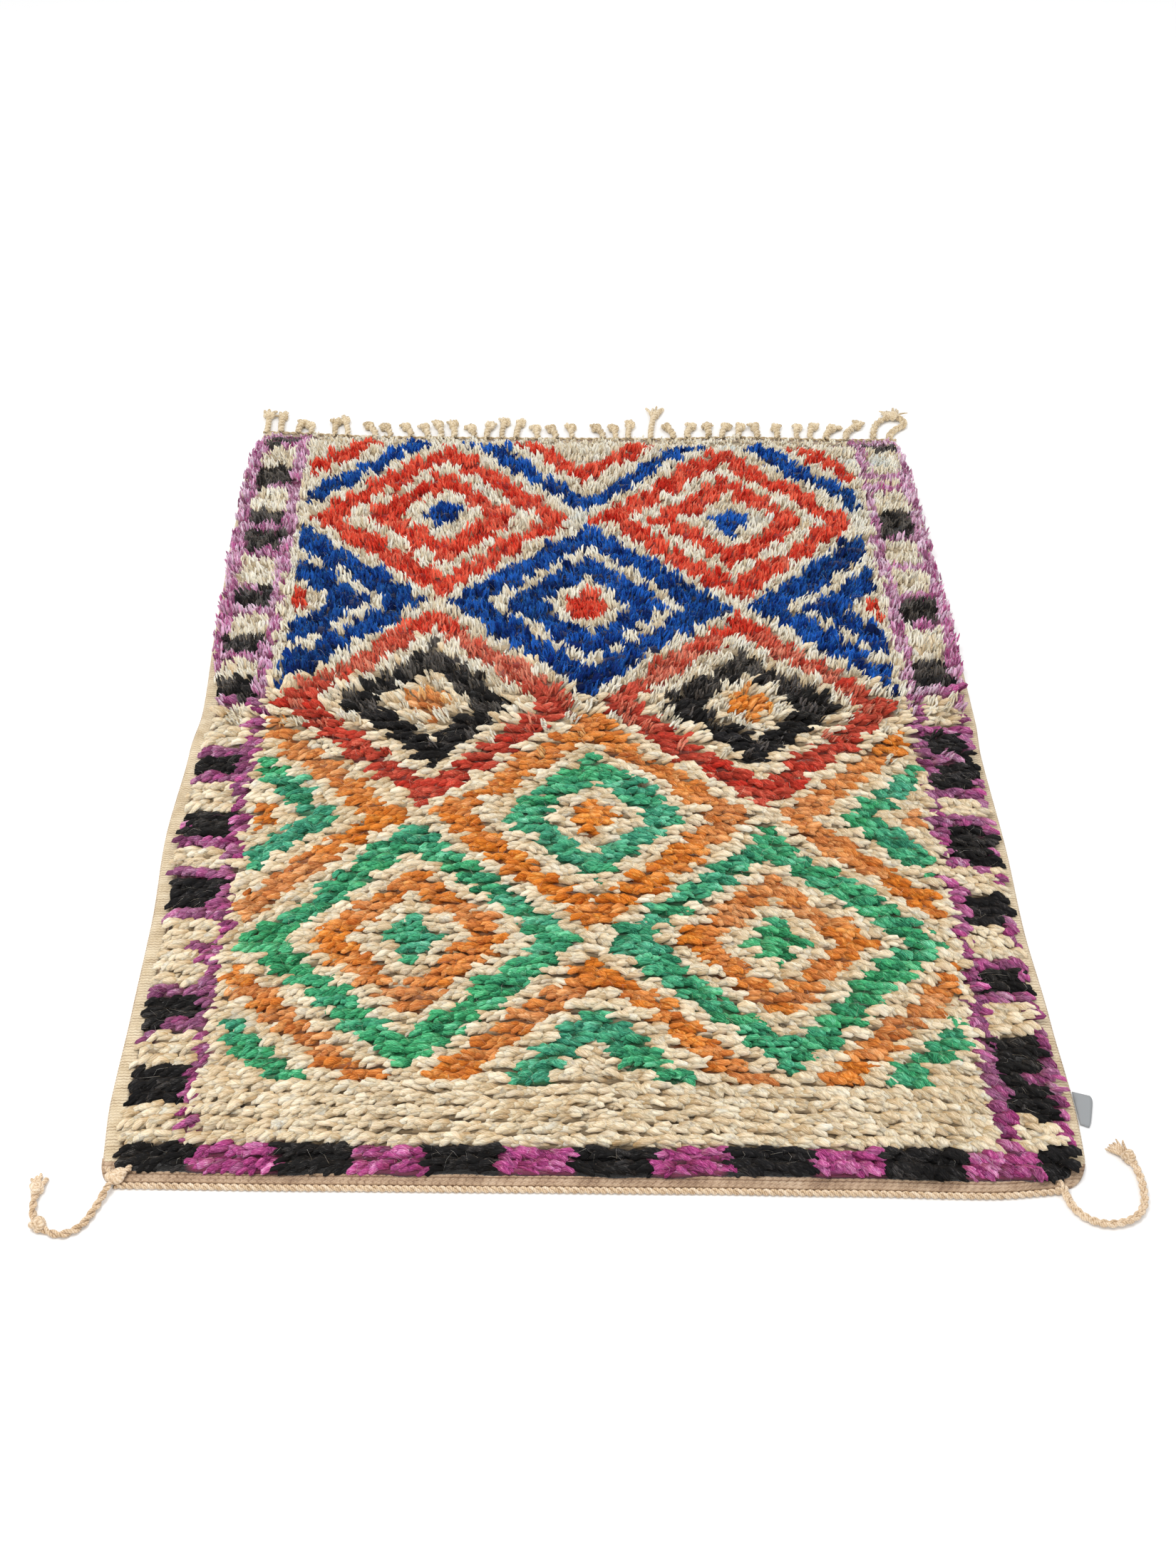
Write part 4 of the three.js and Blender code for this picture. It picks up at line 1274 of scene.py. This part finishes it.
ties = {
    "seed": 22,
    "left": {
        "name": "leftTie",
        "nodes": ["left_tie", "left_tie_top"],
        "route": [
            (-0.4940, -0.0080, 0.0095), (-0.4980, -0.0180, 0.0062), (-0.5030, -0.0310, 0.0046),
            (-0.5080, -0.0440, 0.0046), (-0.5140, -0.0540, 0.0046), (-0.5230, -0.0610, 0.0046),
            (-0.5330, -0.0640, 0.0046), (-0.5410, -0.0620, 0.0046), (-0.5480, -0.0585, 0.0048),
            (-0.5555, -0.0535, 0.0060), (-0.5605, -0.0460, 0.0048), (-0.5635, -0.0370, 0.0046),
            (-0.5650, -0.0270, 0.0046), (-0.5653, -0.0168, 0.0046), (-0.5653, -0.0120, 0.0050),
        ],
        "radius": 0.0042,
        "pitch": 0.0230,
        "step": 0.0020,
        "knots": [
            {"name": "leftTieKnot", "node": "left_tie_knot",
             "at": (-0.5555, -0.0535, 0.0068), "half": (0.0098, 0.0088, 0.0066), "turn": 0.6},
            {"name": "leftTieEnd", "node": "left_tie_end",
             "at": (-0.5653, -0.0085, 0.0066), "half": (0.0086, 0.0080, 0.0064), "turn": 1.9,
             "toward": (0.05, 1.0),
             "tuft": {"number": 8, "length": 0.0150, "bundle": 0.0048, "spread": 0.05, "thick": 0.0020,
                      "blunt": True}},
        ],
    },
    "right": {
        "name": "rightTie",
        "nodes": ["right_tie"],
        "route": [
            (0.4790, -0.0075, 0.0049), (0.4810, -0.0180, 0.0051), (0.4860, -0.0290, 0.0051),
            (0.4940, -0.0380, 0.0051), (0.5050, -0.0440, 0.0051), (0.5170, -0.0460, 0.0051),
            (0.5300, -0.0440, 0.0051), (0.5420, -0.0390, 0.0051), (0.5510, -0.0310, 0.0051),
            (0.5570, -0.0200, 0.0051), (0.5595, -0.0080, 0.0051), (0.5605, 0.0050, 0.0051),
            (0.5600, 0.0190, 0.0051), (0.5575, 0.0320, 0.0051), (0.5560, 0.0355, 0.0054),
        ],
        "radius": 0.0046,
        "pitch": 0.0290,
        "step": 0.0022,
        "knots": [
            {"name": "rightTieEnd", "node": "right_tie_end",
             "at": (0.5535, 0.0400, 0.0068), "half": (0.0086, 0.0082, 0.0066), "turn": 0.4,
             "toward": (-0.55, 0.83),
             "tuft": {"number": 12, "length": 0.0215, "bundle": 0.0042, "spread": 0.26, "thick": 0.0016}},
        ],
    },
}


def knotGroups(end, random, sides=7):
    # a knot, and the cut ends past it where it has them
    centres, radii = knotStrand(end["at"], end["half"], end["turn"])
    groups = [yarnGroup(centres, radii, sides, random)]
    if "tuft" in end:
        x, y, z = end["at"]
        ahead = np.array(end["toward"]) / math.hypot(*end["toward"])
        start = (x + 0.55 * end["half"][0] * ahead[0], y + 0.55 * end["half"][0] * ahead[1], z * 0.85)
        groups.append(tuftGroup(start, ahead, end["tuft"], random))
    return groups


def makeTie(tie, strands, random):
    # a tie with its knots; the middle line of its strands is the path of the cord
    line, length = alongRoute(tie["route"], tie["step"])
    centres, radii = strands(line, length, tie["radius"], tie["pitch"])
    piece = yarnPiece(tie["name"], [yarnGroup(centres, radii, 7, random)], tie["nodes"])
    knots = [yarnPiece(knot["name"], knotGroups(knot, random), [knot["node"]]) for knot in tie["knots"]]
    print(tie["name"], "is", round(float(length), 4), "m long")


def makeTies():
    random = np.random.default_rng(ties["seed"])
    makeTie(ties["left"], laidStrands, random)
    makeTie(ties["right"], plaitStrands, random)


hemEdging = makeEdging()
makeTies()


cornerKnot = {
    "at": (-0.4870, 0.0055, 0.0102),
    "half": (0.0125, 0.0100, 0.0046),
    "turn": 0.5,
    "arms": {"radius": 0.0036, "pitch": 0.012, "step": 0.0016, "sides": 6},
    "seed": 23,
}


def makeCornerKnot():
    random = np.random.default_rng(cornerKnot["seed"])
    groups = knotGroups(cornerKnot, random)
    x, y, z = cornerKnot["at"]
    arms = [
        [(x + 0.002, y + 0.001, z), (x + 0.008, y + 0.006, z), (x + 0.0125, y + 0.0125, z - 0.001)],
        [(x - 0.002, y + 0.001, z), (x - 0.007, y + 0.006, z), (x - 0.0105, y + 0.0110, z - 0.001)],
        [(x - 0.001, y - 0.002, z), (x - 0.004, y - 0.007, z - 0.001), (x - 0.007, y - 0.0125, z - 0.002)],
    ]
    groups += [laidGroup(arm, cornerKnot["arms"], random) for arm in arms]
    return yarnPiece("cornerKnot", groups, ["left_corner_knot"])


makeCornerKnot()
print("ties and edging made")


# fringe: knotted warp ends along the back edge, each with a stem of two strands laid round each other
# for each tassel: where it is rooted, how far it reaches, and how far its tip is to one side

tassels = [
    (-0.490, 0.068, -0.002), (-0.468, 0.062, -0.006), (-0.441, 0.038, 0.004), (-0.421, 0.032, -0.005),
    (-0.383, 0.048, -0.007), (-0.364, 0.060, -0.011), (-0.321, 0.042, -0.016), (-0.297, 0.038, -0.014),
    (-0.265, 0.040, -0.014), (-0.238, 0.038, -0.014), (-0.218, 0.050, -0.009), (-0.198, 0.052, -0.003),
    (-0.166, 0.036, -0.010), (-0.147, 0.048, 0.006), (-0.123, 0.062, 0.002), (-0.101, 0.058, 0.008),
    (-0.067, 0.038, -0.008), (-0.039, 0.038, -0.012), (-0.012, 0.042, -0.010), (0.034, 0.042, -0.012),
    (0.055, 0.040, -0.006), (0.074, 0.056, 0.006), (0.109, 0.098, 0.014), (0.145, 0.045, -0.012),
    (0.168, 0.046, 0.007), (0.200, 0.044, 0.003), (0.222, 0.042, 0.011), (0.248, 0.042, 0.006),
    (0.278, 0.044, -0.005), (0.308, 0.042, 0.004), (0.340, 0.044, 0.003), (0.361, 0.050, 0.009),
    (0.384, 0.044, 0.026), (0.417, 0.058, 0.030),
]
tasselShape = {
    "radius": 0.0054,
    "pitch": 0.0175,
    "step": 0.0020,
    "sides": 6,
    "knotAt": 0.72,
    "half": (0.0100, 0.0088, 0.0062),
    "tuft": {"number": 6, "bundle": 0.0046, "spread": 0.42, "thick": 0.0026, "blunt": True},
    "seed": 24,
}

backEdge = {
    "from": -0.496,
    "to": 0.496,
    "high": 0.0052,
    "radius": 0.0024,
    "pitch": 0.022,
    "step": 0.0024,
    "sides": 5,
    "seed": 25,
}

fringeLoop = {
    "route": [
        (0.460, 1.499, 0.0050), (0.463, 1.518, 0.0052), (0.469, 1.542, 0.0054), (0.483, 1.560, 0.0058),
        (0.500, 1.568, 0.0066), (0.513, 1.560, 0.0058), (0.514, 1.544, 0.0054), (0.500, 1.530, 0.0054),
        (0.489, 1.514, 0.0052), (0.486, 1.500, 0.0050),
    ],
    "radius": 0.0060,
    "pitch": 0.034,
    "knot": {"at": (0.499, 1.567, 0.0085), "half": (0.0110, 0.0095, 0.0066), "turn": 0.3},
    "tuft": {"number": 7, "bundle": 0.0040, "spread": 0.26, "thick": 0.0020},
    "ends": [
        {"from": (0.502, 1.572, 0.0080), "toward": (0.40, 0.92), "length": 0.026},
        {"from": (0.495, 1.571, 0.0080), "toward": (-0.46, 0.89), "length": 0.020},
    ],
}


def topEdge(x):
    return rug["clothLength"] + float(endWander(np.array([x]), np.array([rug["clothLength"]]))[0])


def tasselGroups(tassel, random):
    # a stem that stands a little off the floor, with its knot and the tuft past it
    x, reach, aside = tassel
    root = topEdge(x) + 0.003
    radius = tasselShape["radius"] * random.uniform(0.88, 1.10)
    bow = random.uniform(-0.0030, 0.0030)
    knot = (x + 0.62 * aside + bow, root + tasselShape["knotAt"] * reach)
    route = [
        (x, root - 0.004, radius + 0.0006),
        (x + 0.12 * aside - 0.4 * bow, root + 0.28 * reach, radius + 0.0016),
        (knot[0], knot[1], radius + 0.0012),
    ]
    cord = dict(tasselShape, radius=radius)
    start = random.uniform(0, 6)
    ahead = (x + aside - knot[0], root + reach - knot[1])
    tuft = dict(tasselShape["tuft"], length=max(math.hypot(*ahead) - 0.004, 0.008))
    end = {"at": (knot[0], knot[1], 0.0064), "half": tasselShape["half"], "turn": random.uniform(0, 6),
           "toward": ahead, "tuft": tuft}
    return [laidGroup(route, cord, random, start)] + knotGroups(end, random, tasselShape["sides"])


def makeFringe():
    random = np.random.default_rng(tasselShape["seed"])
    groups = []
    for tassel in tassels:
        groups += tasselGroups(tassel, random)
    line, length = alongRoute(fringeLoop["route"], 0.0022)
    plait = plaitStrands(line, length, fringeLoop["radius"], fringeLoop["pitch"])
    groups.append(yarnGroup(plait[0], plait[1], 7, random))
    groups += knotGroups(fringeLoop["knot"], random)
    for end in fringeLoop["ends"]:
        tuft = dict(fringeLoop["tuft"], length=end["length"])
        groups.append(tuftGroup(end["from"], end["toward"], tuft, random))
    return yarnPiece("fringe", groups, ["top_fringe"], paleYarn)


def makeBackEdge():
    random = np.random.default_rng(backEdge["seed"])
    x = np.linspace(backEdge["from"], backEdge["to"], 70)
    y = rug["clothLength"] + endWander(x, 0 * x + rug["clothLength"]) + 0.001
    route = np.stack([x, y, np.full(len(x), backEdge["high"])], -1)
    return yarnPiece("backTwining", [laidGroup(route, backEdge, random)], ["top_fringe"], paleYarn)


fringe = makeFringe()
backTwining = makeBackEdge()
print("fringe made")


# label: a small bare tape at the right edge

label = {
    "rows": 14,
    "columns": 6,
    "corner": 0.14,               # how much of the width the outer corners lose
    "low": 0.0022,
    "crown": 0.0012,
    "underside": 0.0012,
    "colour": (146, 149, 151),
}


def makeLabel():
    a, b, c, d = (np.array(p) for p in labelCorners)
    v = np.linspace(0, 1, label["rows"])[:, None]
    u = np.linspace(0, 1, label["columns"])[None] * (1 - label["corner"] * np.abs(2 * v - 1) ** 6)
    low = a[None, None] + (b - a)[None, None] * u[..., None]
    high = d[None, None] + (c - d)[None, None] * u[..., None]
    flat = low + (high - low) * v[..., None]
    top = label["low"] + label["crown"] * np.sin(np.pi * v) * (1 - 0.4 * u)
    piece = slab("sideLabel", flat[..., 0], flat[..., 1], top, label["underside"])
    dress(piece, labelTape(), "label_tape", "side_label")


def labelTape():
    material, tree, shader = newMaterial("labelTape", roughness=0.5, sheen=0.1, specular=0.4)
    weave = addNode(tree, "ShaderNodeTexWave", {"Vector": readPlace(tree), "Scale": 900.0, "Distortion": 0.5},
                    bands_direction="DIAGONAL").outputs["Fac"]
    low = linear(*(0.9 * c for c in label["colour"]))
    colour = ramp(tree, weave, [(0.0, low), (1.0, linear(*label["colour"]))])
    colourAndRaise(tree, shader, colour, weave, distance=0.0002, strength=0.3)
    return material


makeLabel()


# floor and light

studio = {
    "floor": 0.93,
    "floorSize": 16.0,
    "sky": 0.94,
    "lights": [
        {"name": "keyLight", "at": (-1.0, -0.9, 2.6), "size": 1.4, "power": 42.0},
        {"name": "fillLight", "at": (1.4, 1.2, 2.4), "size": 1.8, "power": 12.0},
    ],
}


def makeStudio():
    bpy.ops.mesh.primitive_plane_add(size=studio["floorSize"], location=(0, 0, 0))
    floor = bpy.context.object
    floor.name = "floor"
    material, _, shader = newMaterial("paleFloor", roughness=0.8, sheen=0.0)
    shader.inputs["Base Color"].default_value = grey(studio["floor"])
    floor.data.materials.append(material)
    world = bpy.data.worlds.new("studio")
    world.use_nodes = True
    world.node_tree.nodes["Background"].inputs["Color"].default_value = grey(1.0)
    world.node_tree.nodes["Background"].inputs["Strength"].default_value = studio["sky"]
    bpy.context.scene.world = world
    for lamp in studio["lights"]:
        data = bpy.data.lights.new(lamp["name"], "AREA")
        data.size = lamp["size"]
        data.energy = lamp["power"]
        light = bpy.data.objects.new(lamp["name"], data)
        bpy.context.collection.objects.link(light)
        light.location = lamp["at"]
        light.rotation_euler = (-Vector(lamp["at"])).to_track_quat("-Z", "Y").to_euler()
    settings = bpy.context.scene.view_settings
    settings.view_transform = "Standard"
    settings.look = "None"


makeStudio()
print("studio ready")
